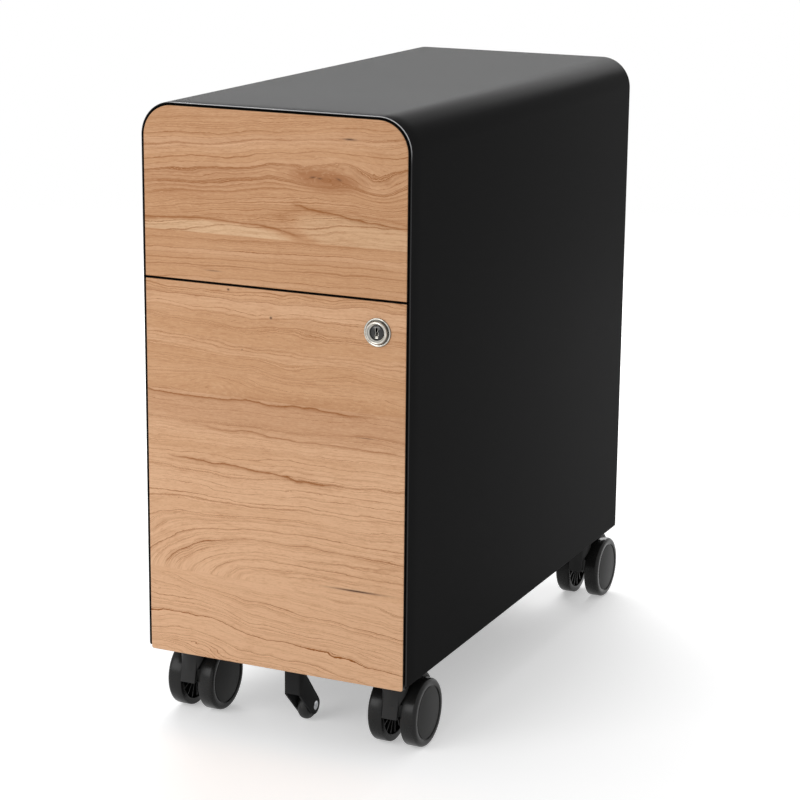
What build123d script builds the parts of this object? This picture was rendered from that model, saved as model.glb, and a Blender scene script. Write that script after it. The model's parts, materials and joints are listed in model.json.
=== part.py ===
"""Slim mobile filing cabinet: bent steel casing, two wood-fronted drawers, casters, anti-tip wheel.

Millimetres, +Z up, front faces -Y. The origin lies on the floor, under the middle of the whole cabinet.
"""

import os

from build123d import *

# Fits
seat_clearance = 0.3
running_clearance = 0.05
overrun = 2.0
nut_sides = 6

# Casing, one sheet wrapped over the top and down both sides
casing_width = 273.0
casing_depth = 568.0
casing_height = 527.5
floor_gap = 77.5
sheet = 1.5
corner_radius = 32.0
foot_bend_radius = 3.0
foot_flange = 14.0

# Back panel and base pan
back_inset = 2.0
back_flange = 13.0
pan_lip = 5.0
pan_setback = 5.0
notch_margin = 6.0

# Uprights that carry the slides
upright_sheet = 1.2
upright_depth = 6.0
upright_width = 32.0
upright_foot = 8.0
upright_bend_radius = 1.4
upright_drop = 40.0
rear_upright_inset = 84.0

# Cross rail between the drawers
cross_rail_rise = 15.0
cross_rail_height = 20.0
cross_rail_depth = 26.0
cross_rail_bend_radius = 2.0

# Wooden drawer fronts
front_thickness = 18.0
front_proud = 1.6
front_reveal = 1.5
front_drop = 2.3
front_gap = 2.0
front_split_drop = 163.8
front_edge_radius = 1.2
front_foot_radius = 2.5

# Steel drawer boxes
drawer_sheet = 1.0
drawer_bend_radius = 1.5
drawer_back_gap = 43.1
drawer_flange = 14.0
upper_floor_gap = 3.8
upper_side_drop = 33.0
file_floor_rise = 9.5
file_side_drop = 95.0

# Telescopic slides
slide_height = 45.0
slide_thickness = 12.7
slide_setback = 4.0
slide_end_gap = 1.0
upper_slide_rise = 34.0
file_slide_rise = 125.0
rail_sheet = 1.2
rail_bend_radius = 2.4
race_gap = 0.4
rail_flange = 8.6

# Hanging file bars
file_bar_spacing = 311.0
file_bar_setback = 40.0
file_bar_thickness = 3.0
file_bar_height = 16.0
file_bar_notch = 8.0
file_bar_overhang = 3.0

# Cam lock
lock_edge_inset = 28.0
lock_flange_radius = 13.2
lock_flange_rim = 1.4
lock_ring_radius = 10.6
lock_ring_bevel = 1.0
lock_ring_land = 1.6
lock_proud = 4.5
lock_recess = 2.2
lock_body_radius = 9.4
lock_nut_radius = 12.7
lock_nut_thickness = 5.0
lock_tail_radius = 4.0
plug_radius = 6.7
plug_shoulder = 0.8
keyway_width = 1.6
keyway_height = 8.2
keyway_depth = 9.0
cam_thickness = 2.0
cam_hub_radius = 8.0
cam_tip_radius = 5.0
cam_head_room = 3.5
cam_clearance = 1.2
lock_plate_margin = 15.0

# Push latch of the upper drawer
latch_rise = 40.0
latch_width = 18.0
latch_height = 14.0
latch_length = 30.0
latch_corner_radius = 3.0
plunger_radius = 4.0
plunger_head_radius = 6.0
plunger_head = 4.0
plunger_engagement = 16.0
plunger_travel = 4.0

# Casters
caster_side_inset = 28.0
caster_end_inset = 37.5
caster_trail = 22.5
wheel_radius = 33.25
wheel_width = 15.5
wheel_shoulder = 3.6
wheel_inner_edge = 1.0
wheel_disc_radius = 24.5
wheel_groove = 1.2
wheel_groove_depth = 1.0
wheel_disc_recess = 0.3
wheel_wall = 6.5
wheel_rim_radius = 27.0
wheel_hub_radius = 8.0
wheel_blind_depth = 12.0
wheel_ribs = 8
wheel_rib_thickness = 1.6
wheel_rib_setback = 1.0
axle_radius = 4.0
hood_width = 17.0
hood_wheel_gap = 1.0
hood_wall = 4.0
hood_front_gap = 3.75
hood_front_lean = 4.0
hood_skirt_rise = 2.0
hood_hub_radius = 9.0
fender_gap = 2.35
fender_thickness = 3.4
fender_width = 25.0
fender_rear_angle = 36.0
fender_front_angle = 122.0
swivel_boss_radius = 12.5
swivel_boss_length = 26.0
swivel_pin_radius = 4.5
swivel_pin_length = 22.0
swivel_arm_drop = 18.0
stem_radius = 5.0
stem_collar_radius = 10.0
stem_collar_height = 5.2
stem_end = 1.0
stem_nut_radius = 9.8
stem_nut_thickness = 5.0

# Anti-tip wheel under the file drawer
bracket_sheet = 2.0
bracket_width = 17.2
bracket_setback = 18.6
bracket_depth = 13.0
bracket_knee_front = 37.5
bracket_knee_back = 56.0
bracket_foot = 40.0
bracket_end_radius = 9.0
tip_wheel_radius = 14.5
tip_wheel_gap = 1.5
tip_wheel_trail = 34.0
tip_wheel_side_gap = 0.7
tip_wheel_edge = 4.5
tip_pin_radius = 2.5
tip_head_radius = 4.5
tip_head_height = 1.4

# Planes that the pieces share
half_width = casing_width / 2
caster_half_track = half_width - caster_side_inset
caster_wheelbase = casing_depth - 2 * caster_end_inset
inner_half = half_width - sheet
casing_top = floor_gap + casing_height
front_reach = casing_depth / 2 + front_proud + lock_proud
rear_reach = max(casing_depth / 2, caster_wheelbase / 2 + caster_trail + wheel_radius)
middle_y = (front_reach - rear_reach) / 2
rim_y = middle_y - casing_depth / 2
back_y = middle_y + casing_depth / 2
face_y = rim_y - front_proud
box_y = face_y + front_thickness
back_face_y = back_y - back_inset - sheet
box_end_y = back_face_y - drawer_back_gap
slide_y = box_y + slide_setback
slide_end_y = box_end_y - slide_end_gap
pan_under_z = floor_gap + sheet
pan_z = pan_under_z + sheet
split_z = casing_top - front_split_drop
rail_top_z = split_z + cross_rail_rise
upper_floor_z = rail_top_z + upper_floor_gap
upper_side_z = casing_top - upper_side_drop
file_floor_z = pan_z + file_floor_rise
file_top_z = split_z - front_gap / 2
file_side_z = file_top_z - file_side_drop
slide_x = inner_half - upright_depth
drawer_half = slide_x - slide_thickness
front_half = inner_half - front_reveal
lock_x = front_half - lock_edge_inset
lock_z = file_top_z - lock_edge_inset
plug_bore_radius = plug_radius + running_clearance
lock_body_end_y = box_y + drawer_sheet + lock_nut_thickness
cam_y = lock_body_end_y + plug_shoulder
cam_end_y = cam_y + cam_thickness
cam_length = rail_top_z - sheet - cam_head_room - cam_tip_radius - lock_z
cross_rail_y = cam_y - cam_clearance - sheet
hood_top_z = pan_under_z - stem_collar_height - seat_clearance
hood_front_reach = wheel_radius + hood_front_gap
fender_inner_radius = wheel_radius + fender_gap
fender_radius = fender_inner_radius + fender_thickness
tip_wheel_z = tip_wheel_radius + tip_wheel_gap
bracket_y = box_y + bracket_setback
tip_wheel_y = bracket_y + tip_wheel_trail


def along_x(profile, start, end):
    """Extrude a (y, z) profile from one x to another."""
    return extrude(Plane.YZ.offset(start) * profile, amount=end - start)


def along_y(profile, start, end):
    """Extrude an (x, z) profile from one y to another."""
    plane = Plane((0, end, 0), x_dir=(1, 0, 0), z_dir=(0, -1, 0))
    return extrude(plane * profile, amount=end - start)


def along_z(profile, start, end):
    """Extrude an (x, y) profile from one z to another."""
    return extrude(Plane.XY.offset(start) * profile, amount=end - start)


def outline(*points, radius=0):
    """Closed outline with one corner radius, or one for each corner."""
    return make_face(FilletPolyline(*points, radius=radius, close=True))


def bent_sheet(*points, radius, thickness):
    """Section of a bent sheet whose middle line runs through the points."""
    return trace(FilletPolyline(*points, radius=radius), thickness)


def window(low, high):
    """Rectangle between two corners."""
    return outline(low, (high[0], low[1]), high, (low[0], high[1]))


def both_sides(right):
    """The right-hand piece with its mirrored twin, by side."""
    return {"right": right, "left": mirror(right, about=Plane.YZ)}


def casing_wrap():
    """Sides and top from one sheet, with its lower edges turned in to carry the base pan."""
    mid = half_width - sheet / 2
    low = floor_gap + sheet / 2
    high = casing_top - sheet / 2
    lip = half_width - foot_flange
    foot = foot_bend_radius - sheet / 2
    bend = corner_radius - sheet / 2
    section = bent_sheet(
        (-lip, low),
        (-mid, low),
        (-mid, high),
        (mid, high),
        (mid, low),
        (lip, low),
        radius=[foot, bend, bend, foot],
        thickness=sheet,
    )
    relief = window((-inner_half, floor_gap - overrun), (inner_half, floor_gap + foot_bend_radius))
    return along_y(section, rim_y, back_y) - along_y(relief, rim_y - overrun, box_y + pan_setback)


def back_panel():
    """Shallow pan that closes the rear, set in from the casing's edge."""
    half = inner_half - seat_clearance
    high = casing_top - sheet - seat_clearance
    bend = corner_radius - sheet - seat_clearance
    panel = outline((-half, pan_z), (half, pan_z), (half, high), (-half, high), radius=[0, 0, bend, bend])
    rear = back_y - back_inset
    hollow = offset(panel, -sheet)
    solid = along_y(panel, rear - back_flange, rear)
    return solid - along_y(hollow, rear - back_flange - overrun, back_face_y)


def base_pan():
    """Floor of the casing, resting on the turned-in edges, with a notch for the anti-tip bracket."""
    front = box_y + pan_setback
    middle = pan_under_z + sheet / 2
    half = inner_half - foot_bend_radius
    section = bent_sheet(
        (front + sheet / 2, pan_z + pan_lip),
        (front + sheet / 2, middle),
        (back_y - back_inset, middle),
        radius=sheet,
        thickness=sheet,
    )
    pan = along_x(section, -half, half)
    notch_half = bracket_width / 2 + notch_margin
    notch_end = bracket_y + bracket_depth + notch_margin
    notch = window((-notch_half, front - overrun), (notch_half, notch_end))
    pan -= along_z(notch, floor_gap, pan_z + pan_lip + overrun)
    hole = Circle(stem_radius + seat_clearance)
    for x, y in caster_places().values():
        pan -= along_z(Pos(x, y) * hole, floor_gap, pan_z + overrun)
    return pan


def upright(start):
    """Right-hand hat section that stands on the base pan and carries the slides."""
    foot_x = inner_half - upright_sheet / 2
    web_x = slide_x + upright_sheet / 2
    end = start + upright_width
    section = bent_sheet(
        (foot_x, start),
        (foot_x, start + upright_foot),
        (web_x, start + upright_foot),
        (web_x, end - upright_foot),
        (foot_x, end - upright_foot),
        (foot_x, end),
        radius=upright_bend_radius,
        thickness=upright_sheet,
    )
    return along_z(section, pan_z, casing_top - upright_drop)


def cross_rail():
    """Channel between the drawers; the lock's cam hooks behind its front lip."""
    front = cross_rail_y + sheet / 2
    rear = cross_rail_y + cross_rail_depth - sheet / 2
    high = rail_top_z - sheet / 2
    low = rail_top_z - cross_rail_height
    section = bent_sheet(
        (front, low),
        (front, high),
        (rear, high),
        (rear, low),
        radius=cross_rail_bend_radius,
        thickness=sheet,
    )
    return along_x(section, -slide_x, slide_x)


def rail_section(web, tip, half_height):
    """C-shaped rail section, measured from the upright's face towards the drawer."""
    web_x = slide_x - web
    tip_x = slide_x - tip
    return bent_sheet(
        (tip_x, half_height),
        (web_x, half_height),
        (web_x, -half_height),
        (tip_x, -half_height),
        radius=rail_bend_radius,
        thickness=rail_sheet,
    )


def slide_rails(height):
    """The three nested rails of one right-hand slide."""
    step = rail_sheet + race_gap
    outer_half = (slide_height - rail_sheet) / 2
    middle_web = step + rail_sheet / 2
    inner_web = slide_thickness - rail_sheet / 2
    sections = {
        "outer": rail_section(rail_sheet / 2, rail_flange, outer_half),
        "middle": rail_section(middle_web, middle_web + rail_flange, outer_half - step),
        "inner": rail_section(inner_web, inner_web - rail_flange, outer_half - step - step),
    }
    rails = {}
    for name, section in sections.items():
        rails[name] = along_y(Pos(0, height) * section, slide_y, slide_end_y)
    return rails


def upper_front():
    """Upper wooden front, its top corners following the casing."""
    low = split_z + front_gap / 2
    high = casing_top - sheet - front_reveal
    bend = corner_radius - sheet - front_reveal
    board = outline(
        (-front_half, low),
        (front_half, low),
        (front_half, high),
        (-front_half, high),
        radius=[0, 0, bend, bend],
    )
    return eased_board(board)


def file_front():
    """Lower wooden front, bored for the lock."""
    low = floor_gap - front_drop
    board = outline(
        (-front_half, low),
        (front_half, low),
        (front_half, file_top_z),
        (-front_half, file_top_z),
        radius=[front_foot_radius, front_foot_radius, 0, 0],
    )
    return eased_board(board) - lock_bore()


def eased_board(board):
    """Board of the front's thickness with its face edges eased."""
    solid = along_y(board, face_y, box_y)
    face = solid.faces().sort_by(Axis.Y)[0]
    return fillet(face.edges(), front_edge_radius)


def lock_bore():
    """Clearance bore for the lock's body."""
    hole = Pos(lock_x, lock_z) * Circle(lock_body_radius + running_clearance)
    return along_y(hole, face_y - overrun, lock_body_end_y)


def drawer_tray(floor_z, side_z):
    """Floor and sides of a drawer box from one sheet."""
    mid = drawer_half - drawer_sheet / 2
    low = floor_z + drawer_sheet / 2
    section = bent_sheet(
        (-mid, side_z),
        (-mid, low),
        (mid, low),
        (mid, side_z),
        radius=drawer_bend_radius,
        thickness=drawer_sheet,
    )
    return along_y(section, box_y, box_end_y)


def drawer_end(wall_y, flange_y, floor_z, side_z):
    """End wall of a drawer box, flanged along both sides of the tray."""
    mid = drawer_half - drawer_sheet - drawer_sheet / 2
    section = bent_sheet(
        (-mid, flange_y),
        (-mid, wall_y),
        (mid, wall_y),
        (mid, flange_y),
        radius=drawer_bend_radius,
        thickness=drawer_sheet,
    )
    return along_z(section, floor_z + drawer_sheet + drawer_bend_radius, side_z)


def drawer_back(floor_z, side_z):
    """Rear wall of a drawer box."""
    wall = box_end_y - drawer_sheet / 2
    return drawer_end(wall, wall - drawer_flange, floor_z, side_z)


def inner_front(floor_z, side_z):
    """Front wall of a drawer box, against the wooden front."""
    wall = box_y + drawer_sheet / 2
    return drawer_end(wall, wall + drawer_flange, floor_z, side_z)


def file_inner_front():
    """The file drawer's front wall, carried up as a plate that holds the lock."""
    high = lock_z + lock_plate_margin
    half = drawer_half - drawer_sheet - drawer_bend_radius
    plate = window((-half, file_side_z), (half, high))
    wall = inner_front(file_floor_z, file_side_z) + along_y(plate, box_y, box_y + drawer_sheet)
    return wall - lock_bore()


def file_bar(start):
    """Bar across the file drawer, notched over both sides; hanging folders hook on it."""
    low = file_side_z - file_bar_notch
    half = drawer_half + file_bar_overhang
    bar = window((-half, low), (half, low + file_bar_height))
    notch_in = drawer_half - drawer_sheet - running_clearance
    notch_out = drawer_half + running_clearance
    notch = window((notch_in, low - overrun), (notch_out, file_side_z))
    bar -= notch
    bar -= mirror(notch, about=Plane.YZ)
    return along_y(bar, start, start + file_bar_thickness)


def turned(profile):
    """Turn a (radius, y) profile about the lock's axis."""
    return Pos(lock_x, 0, lock_z) * revolve(profile, Axis.Y)


def lock_housing():
    """Flanged lock body with a raised ring round the plug."""
    crest = face_y - lock_proud
    rim = face_y - lock_flange_rim
    land = lock_ring_radius - lock_ring_land
    profile = outline(
        (plug_bore_radius, lock_body_end_y),
        (lock_body_radius, lock_body_end_y),
        (lock_body_radius, face_y),
        (lock_flange_radius, face_y),
        (lock_flange_radius, rim),
        (lock_ring_radius, rim),
        (lock_ring_radius, crest + lock_ring_bevel),
        (lock_ring_radius - lock_ring_bevel, crest),
        (land, crest),
        (plug_bore_radius, crest + lock_recess),
    )
    return turned(profile)


def lock_plug():
    """Turning plug with its keyway and the tail that carries the cam."""
    face = face_y - lock_proud + lock_recess
    profile = outline(
        (0, face),
        (plug_radius, face),
        (plug_radius, cam_y),
        (lock_tail_radius, cam_y),
        (lock_tail_radius, cam_end_y + plug_shoulder),
        (0, cam_end_y + plug_shoulder),
    )
    keyway = Pos(lock_x, lock_z) * Rectangle(keyway_width, keyway_height)
    return turned(profile) - along_y(keyway, face - overrun, face + keyway_depth)


def lock_cam():
    """Cam on the plug's tail, lying level while the lock is open."""
    hub = Circle(cam_hub_radius)
    tip = Pos(-cam_length, 0) * Circle(cam_tip_radius)
    plate = make_hull(hub.edges() + tip.edges()) - Circle(lock_tail_radius + running_clearance)
    return along_y(Pos(lock_x, lock_z) * plate, cam_y, cam_end_y)


def lock_nut():
    """Hexagonal nut that clamps the lock to the file drawer."""
    ring = RegularPolygon(lock_nut_radius, nut_sides) - Circle(lock_body_radius + running_clearance)
    return along_y(Pos(lock_x, lock_z) * ring, box_y + drawer_sheet, lock_body_end_y)


def push_latch_body():
    """Push-latch housing on the back panel, bored for its plunger."""
    height = upper_floor_z + latch_rise
    front = back_face_y - latch_length
    case = RectangleRounded(latch_width, latch_height, latch_corner_radius)
    bore = Circle(plunger_radius + running_clearance)
    bore_end = front + plunger_engagement + plunger_travel + overrun
    body = along_y(Pos(0, height) * case, front, back_face_y)
    return body - along_y(Pos(0, height) * bore, front - overrun, bore_end)


def push_latch_plunger():
    """Plunger that meets the back of the upper drawer."""
    height = upper_floor_z + latch_rise
    tip = box_end_y + seat_clearance
    stem_end_y = back_face_y - latch_length + plunger_engagement
    profile = outline(
        (0, tip),
        (plunger_head_radius, tip),
        (plunger_head_radius, tip + plunger_head),
        (plunger_radius, tip + plunger_head),
        (plunger_radius, stem_end_y),
        (0, stem_end_y),
    )
    return Pos(0, 0, height) * revolve(profile, Axis.Y)


def caster_places():
    """Swivel axis of each caster, seen from above."""
    places = {}
    for end, y in (("front", middle_y - caster_wheelbase / 2), ("rear", middle_y + caster_wheelbase / 2)):
        places[end + "_left"] = (-caster_half_track, y)
        places[end + "_right"] = (caster_half_track, y)
    return places


def caster_stem():
    """Fixed stem: swivel pin, collar under the base pan and threaded end."""
    collar = hood_top_z + seat_clearance
    profile = outline(
        (0, collar - swivel_pin_length),
        (swivel_pin_radius, collar - swivel_pin_length),
        (swivel_pin_radius, collar),
        (stem_collar_radius, collar),
        (stem_collar_radius, pan_under_z),
        (stem_radius, pan_under_z),
        (stem_radius, pan_z + stem_nut_thickness + stem_end),
        (0, pan_z + stem_nut_thickness + stem_end),
    )
    return revolve(Plane.XZ * profile, Axis.Z)


def caster_nut():
    """Nut that holds the stem to the base pan."""
    ring = RegularPolygon(stem_nut_radius, nut_sides) - Circle(stem_radius + running_clearance)
    return along_z(ring, pan_z, pan_z + stem_nut_thickness)


def caster_hood():
    """Moulded hood about its axle: front wall, swivel boss, arm to the hub and arched fender."""
    half = hood_width / 2
    top = hood_top_z - wheel_radius
    wall = outline(
        (-hood_front_reach, hood_skirt_rise),
        (-hood_front_reach + hood_wall, hood_skirt_rise),
        (-hood_front_reach + hood_front_lean + hood_wall, top),
        (-hood_front_reach + hood_front_lean, top),
    )
    hub = Circle(hood_hub_radius)
    knee = Pos(-caster_trail, top - swivel_arm_drop) * Circle(hood_hub_radius)
    arm = make_hull(hub.edges() + knee.edges())
    hood = along_x(wall, -half, half) + along_x(arm, -half, half)
    wheel_space = Circle(fender_inner_radius)
    arch = Circle(fender_radius) - wheel_space
    span = fender_radius + overrun
    rise = Vector(span, 0).rotate(Axis.Z, fender_rear_angle)
    fall = Vector(span, 0).rotate(Axis.Z, fender_front_angle)
    wedge = outline((0, 0), (rise.X, rise.Y), (rise.X, span), (fall.X, span), (fall.X, fall.Y))
    hood += along_x(arch & wedge, -fender_width / 2, fender_width / 2)
    boss = Pos(0, -caster_trail) * Circle(swivel_boss_radius)
    hood += along_z(boss, top - swivel_boss_length, top)
    hood -= along_x(wheel_space, half, half + fender_width)
    hood -= along_x(wheel_space, -half - fender_width, -half)
    pin_hole = Pos(0, -caster_trail) * Circle(swivel_pin_radius + running_clearance)
    hood -= along_z(pin_hole, top - swivel_pin_length, top + overrun)
    return hood - along_x(Circle(axle_radius + running_clearance), -half - overrun, half + overrun)


def caster_axle():
    """Rod through the hood's hub; its ends run in the wheels' blind hubs."""
    reach = hood_width / 2 + hood_wheel_gap + wheel_blind_depth - seat_clearance
    return along_x(Circle(axle_radius), -reach, reach)


def caster_wheel():
    """Right-hand wheel about its axle: tread, shoulder, grooved face and a ribbed inner side."""
    bore = axle_radius + running_clearance
    inner_wall = wheel_width - wheel_wall
    face = wheel_width - wheel_disc_recess
    groove_floor = wheel_width - wheel_groove_depth
    groove_out = wheel_disc_radius + wheel_groove
    shoulder = wheel_width - wheel_shoulder
    crown = wheel_radius - wheel_shoulder
    rim = Polyline(
        (shoulder, wheel_radius),
        (wheel_inner_edge, wheel_radius),
        (0, wheel_radius - wheel_inner_edge),
        (0, wheel_rim_radius),
        (inner_wall, wheel_rim_radius),
        (inner_wall, wheel_hub_radius),
        (0, wheel_hub_radius),
        (0, bore),
        (wheel_blind_depth, bore),
        (wheel_blind_depth, 0),
        (face, 0),
        (face, wheel_disc_radius),
        (groove_floor, wheel_disc_radius),
        (groove_floor, groove_out),
        (wheel_width, groove_out),
        (wheel_width, crown),
    )
    rounding = RadiusArc((wheel_width, crown), (shoulder, wheel_radius), -wheel_shoulder)
    wheel = revolve(make_face(rim.edges() + rounding.edges()), Axis.X)
    rib_middle = (wheel_hub_radius + wheel_rim_radius) / 2
    rib_length = wheel_rim_radius - wheel_hub_radius + running_clearance
    rib = Pos(0, rib_middle) * Rectangle(wheel_rib_thickness, rib_length)
    for turn in range(wheel_ribs):
        spoke = Rot(0, 0, turn * 360 / wheel_ribs) * rib
        wheel += along_x(spoke, wheel_rib_setback, inner_wall)
    return Pos(hood_width / 2 + hood_wheel_gap, 0, 0) * wheel


def anti_tip_bracket():
    """Bent steel bracket: front plate, two cheeks that sweep back to the wheel, and a fixing foot."""
    half = bracket_width / 2
    back = bracket_y + bracket_depth
    column = window((bracket_y, bracket_knee_front), (back, file_floor_z))
    knee = outline((bracket_y, bracket_knee_front), (back, bracket_knee_back), (back, bracket_knee_front))
    end = Pos(tip_wheel_y, tip_wheel_z) * Circle(bracket_end_radius)
    cheek = make_hull(knee.edges() + end.edges()) + column
    cheek -= Pos(tip_wheel_y, tip_wheel_z) * Circle(tip_pin_radius + running_clearance)
    bracket = along_x(cheek, half - bracket_sheet, half)
    bracket += along_x(cheek, -half, -half + bracket_sheet)
    plate = window((bracket_y, bracket_knee_front), (bracket_y + bracket_sheet, file_floor_z))
    bracket += along_x(plate, -half, half)
    foot = window((bracket_y, file_floor_z - bracket_sheet), (bracket_y + bracket_foot, file_floor_z))
    return bracket + along_x(foot, -half, half)


def anti_tip_axle():
    """Headed rivet through both cheeks."""
    half = bracket_width / 2
    rivet = along_x(Circle(tip_pin_radius), -half - tip_head_height, half + tip_head_height)
    rivet += along_x(Circle(tip_head_radius), half, half + tip_head_height)
    rivet += along_x(Circle(tip_head_radius), -half - tip_head_height, -half)
    return Pos(0, tip_wheel_y, tip_wheel_z) * rivet


def anti_tip_wheel():
    """Small roller between the cheeks."""
    half = bracket_width / 2 - bracket_sheet - tip_wheel_side_gap
    bore = tip_pin_radius + running_clearance
    profile = outline(
        (-half, bore),
        (half, bore),
        (half, tip_wheel_radius),
        (-half, tip_wheel_radius),
        radius=[0, 0, tip_wheel_edge, tip_wheel_edge],
    )
    return Pos(0, tip_wheel_y, tip_wheel_z) * revolve(profile, Axis.X)


def casing_nodes():
    """The fixed casing and what is fastened to it."""
    nodes = {
        "casing_wrap": casing_wrap(),
        "back_panel": back_panel(),
        "base_pan": base_pan(),
        "cross_rail": cross_rail(),
        "push_latch_body": push_latch_body(),
        "push_latch_plunger": push_latch_plunger(),
    }
    rear_start = box_end_y - rear_upright_inset
    for end, start in (("front", cross_rail_y), ("rear", rear_start)):
        for side, solid in both_sides(upright(start)).items():
            nodes[side + "_" + end + "_upright"] = solid
    return nodes


def slide_nodes():
    """Slides of both drawers."""
    nodes = {}
    heights = {"upper": upper_floor_z + upper_slide_rise, "file": file_floor_z + file_slide_rise}
    for drawer, height in heights.items():
        for rail, right in slide_rails(height).items():
            for side, solid in both_sides(right).items():
                nodes[drawer + "_" + side + "_" + rail + "_rail"] = solid
    return nodes


def drawer_nodes():
    """Both drawers with the lock, the file bars and the anti-tip wheel."""
    bar_y = box_y + file_bar_setback
    return {
        "upper_front": upper_front(),
        "upper_drawer_tray": drawer_tray(upper_floor_z, upper_side_z),
        "upper_drawer_back": drawer_back(upper_floor_z, upper_side_z),
        "upper_drawer_inner_front": inner_front(upper_floor_z, upper_side_z),
        "file_front": file_front(),
        "file_drawer_tray": drawer_tray(file_floor_z, file_side_z),
        "file_drawer_back": drawer_back(file_floor_z, file_side_z),
        "file_drawer_inner_front": file_inner_front(),
        "front_file_bar": file_bar(bar_y),
        "rear_file_bar": file_bar(bar_y + file_bar_spacing),
        "lock_housing": lock_housing(),
        "lock_nut": lock_nut(),
        "lock_plug": lock_plug(),
        "lock_cam": lock_cam(),
        "anti_tip_bracket": anti_tip_bracket(),
        "anti_tip_axle": anti_tip_axle(),
        "anti_tip_wheel": anti_tip_wheel(),
    }


def caster_nodes():
    """Four casters, each with a hood, an axle and two wheels; stems and nuts are grouped."""
    places = caster_places()
    hood = caster_hood()
    axle = caster_axle()
    wheels = both_sides(caster_wheel())
    nodes = {
        "caster_stems": Compound(children=[Pos(x, y) * caster_stem() for x, y in places.values()]),
        "caster_nuts": Compound(children=[Pos(x, y) * caster_nut() for x, y in places.values()]),
    }
    for corner, (x, y) in places.items():
        place = Pos(x, y + caster_trail, wheel_radius)
        nodes[corner + "_hood"] = place * hood
        nodes[corner + "_axle"] = place * axle
        for side, wheel in wheels.items():
            nodes[corner + "_" + side + "_wheel"] = place * wheel
    return nodes


def main():
    os.makedirs("parts", exist_ok=True)
    groups = (casing_nodes(), slide_nodes(), drawer_nodes(), caster_nodes())
    for group in groups:
        for name, solid in group.items():
            export_step(solid, os.path.join("parts", name + ".step"))


if __name__ == "__main__":
    main()
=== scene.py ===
"""Looks of a slim mobile filing cabinet, built round its packed frame.

Metres, +Z up, the drawer fronts face -Y.
"""

import json
import math
from typing import NamedTuple

import bmesh
import bpy
from bpy.props import FloatProperty, FloatVectorProperty, IntProperty, PointerProperty
from mathutils import Matrix, Vector


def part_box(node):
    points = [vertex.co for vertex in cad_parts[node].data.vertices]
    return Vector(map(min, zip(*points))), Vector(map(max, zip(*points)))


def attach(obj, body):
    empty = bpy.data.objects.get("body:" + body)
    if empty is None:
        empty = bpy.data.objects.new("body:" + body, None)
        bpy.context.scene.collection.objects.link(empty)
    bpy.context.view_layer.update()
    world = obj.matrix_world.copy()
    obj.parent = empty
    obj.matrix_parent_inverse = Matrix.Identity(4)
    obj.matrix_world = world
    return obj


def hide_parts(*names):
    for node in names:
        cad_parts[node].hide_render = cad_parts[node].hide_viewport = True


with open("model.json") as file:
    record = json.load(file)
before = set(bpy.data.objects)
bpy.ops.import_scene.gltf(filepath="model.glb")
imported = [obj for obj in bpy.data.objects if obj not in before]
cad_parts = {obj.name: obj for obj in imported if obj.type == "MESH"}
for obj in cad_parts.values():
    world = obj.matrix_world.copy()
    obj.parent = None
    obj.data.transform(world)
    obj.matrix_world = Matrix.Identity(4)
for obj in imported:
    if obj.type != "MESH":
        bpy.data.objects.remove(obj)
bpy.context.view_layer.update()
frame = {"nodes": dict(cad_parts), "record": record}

bl_info = {
    "name": "Slim filing cabinet",
    "version": (1, 0, 0),
    "blender": (4, 5, 0),
    "location": "View3D > Sidebar > Cabinet",
    "description": "Builds the looks of a slim mobile filing cabinet round its packed frame",
    "category": "Add Mesh",
}

MM = 0.001
# How near counts as on a plane or circle, a bore's play, and how near counts as one point
NEAR = 0.05 * MM
FIT = 0.05 * MM
MERGE = 0.005 * MM
CORNERS = ("front_left", "front_right", "rear_left", "rear_right")
SIDES = ("left", "right")


# Sizes and colours that a user may change


def length(name, description, millimetres):
    """A size that a user may change, kept in metres."""
    return FloatProperty(
        name=name,
        description=description,
        default=millimetres * MM,
        unit="LENGTH",
        precision=5,
    )


def angle(name, description, degrees):
    """An angle that a user may change, kept in radians."""
    return FloatProperty(
        name=name, description=description, default=math.radians(degrees), subtype="ANGLE"
    )


def optics(name, description, millimetres):
    """A size of the camera that a user may change, kept in millimetres."""
    return FloatProperty(
        name=name, description=description, default=millimetres, min=1, unit="CAMERA"
    )


def count(name, description, default, least):
    """A whole number that a user may change."""
    return IntProperty(name=name, description=description, default=default, min=least)


def share(name, description, default):
    """A share of 1 that a user may change."""
    return FloatProperty(
        name=name, description=description, default=default, min=0, max=1, subtype="FACTOR"
    )


def colour(name, description, default):
    """A linear colour that a user may change."""
    return FloatVectorProperty(
        name=name, description=description, default=default, subtype="COLOR", min=0, max=1
    )


class CasingSizes(bpy.types.PropertyGroup):
    """Sizes of the steel casing."""

    sheet: length("Sheet", "Thickness of the casing's sheet", 1.5)
    corner: length("Corner radius", "Outer radius of the two top bends", 32.0)
    foot_bend: length("Foot bend", "Outer radius of the bends along the bottom", 3.0)
    foot_flange: length("Foot flange", "Width of the edges turned in at the bottom", 14.0)
    foot_relief: length("Foot relief", "How far the turned-in edges stop short of the front", 21.4)
    rim_ease: length("Rim ease", "Rounding of the sheet's cut edges", 0.6)
    pan_corner: length("Back corner", "Radius of the back panel's top corners", 30.2)
    pan_bend: length("Back bend", "Radius of the bend round the back panel", 2.5)


class FrontSizes(bpy.types.PropertyGroup):
    """Sizes of the wooden fronts."""

    corner: length("Corner radius", "Radius of the upper front's top corners", 29.0)
    foot: length("Foot radius", "Radius of the lower front's bottom corners", 2.5)
    ease: length("Edge ease", "Rounding along the face's edges", 1.2)
    back_ease: length("Back ease", "Rounding along the back's edges", 0.5)


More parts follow.
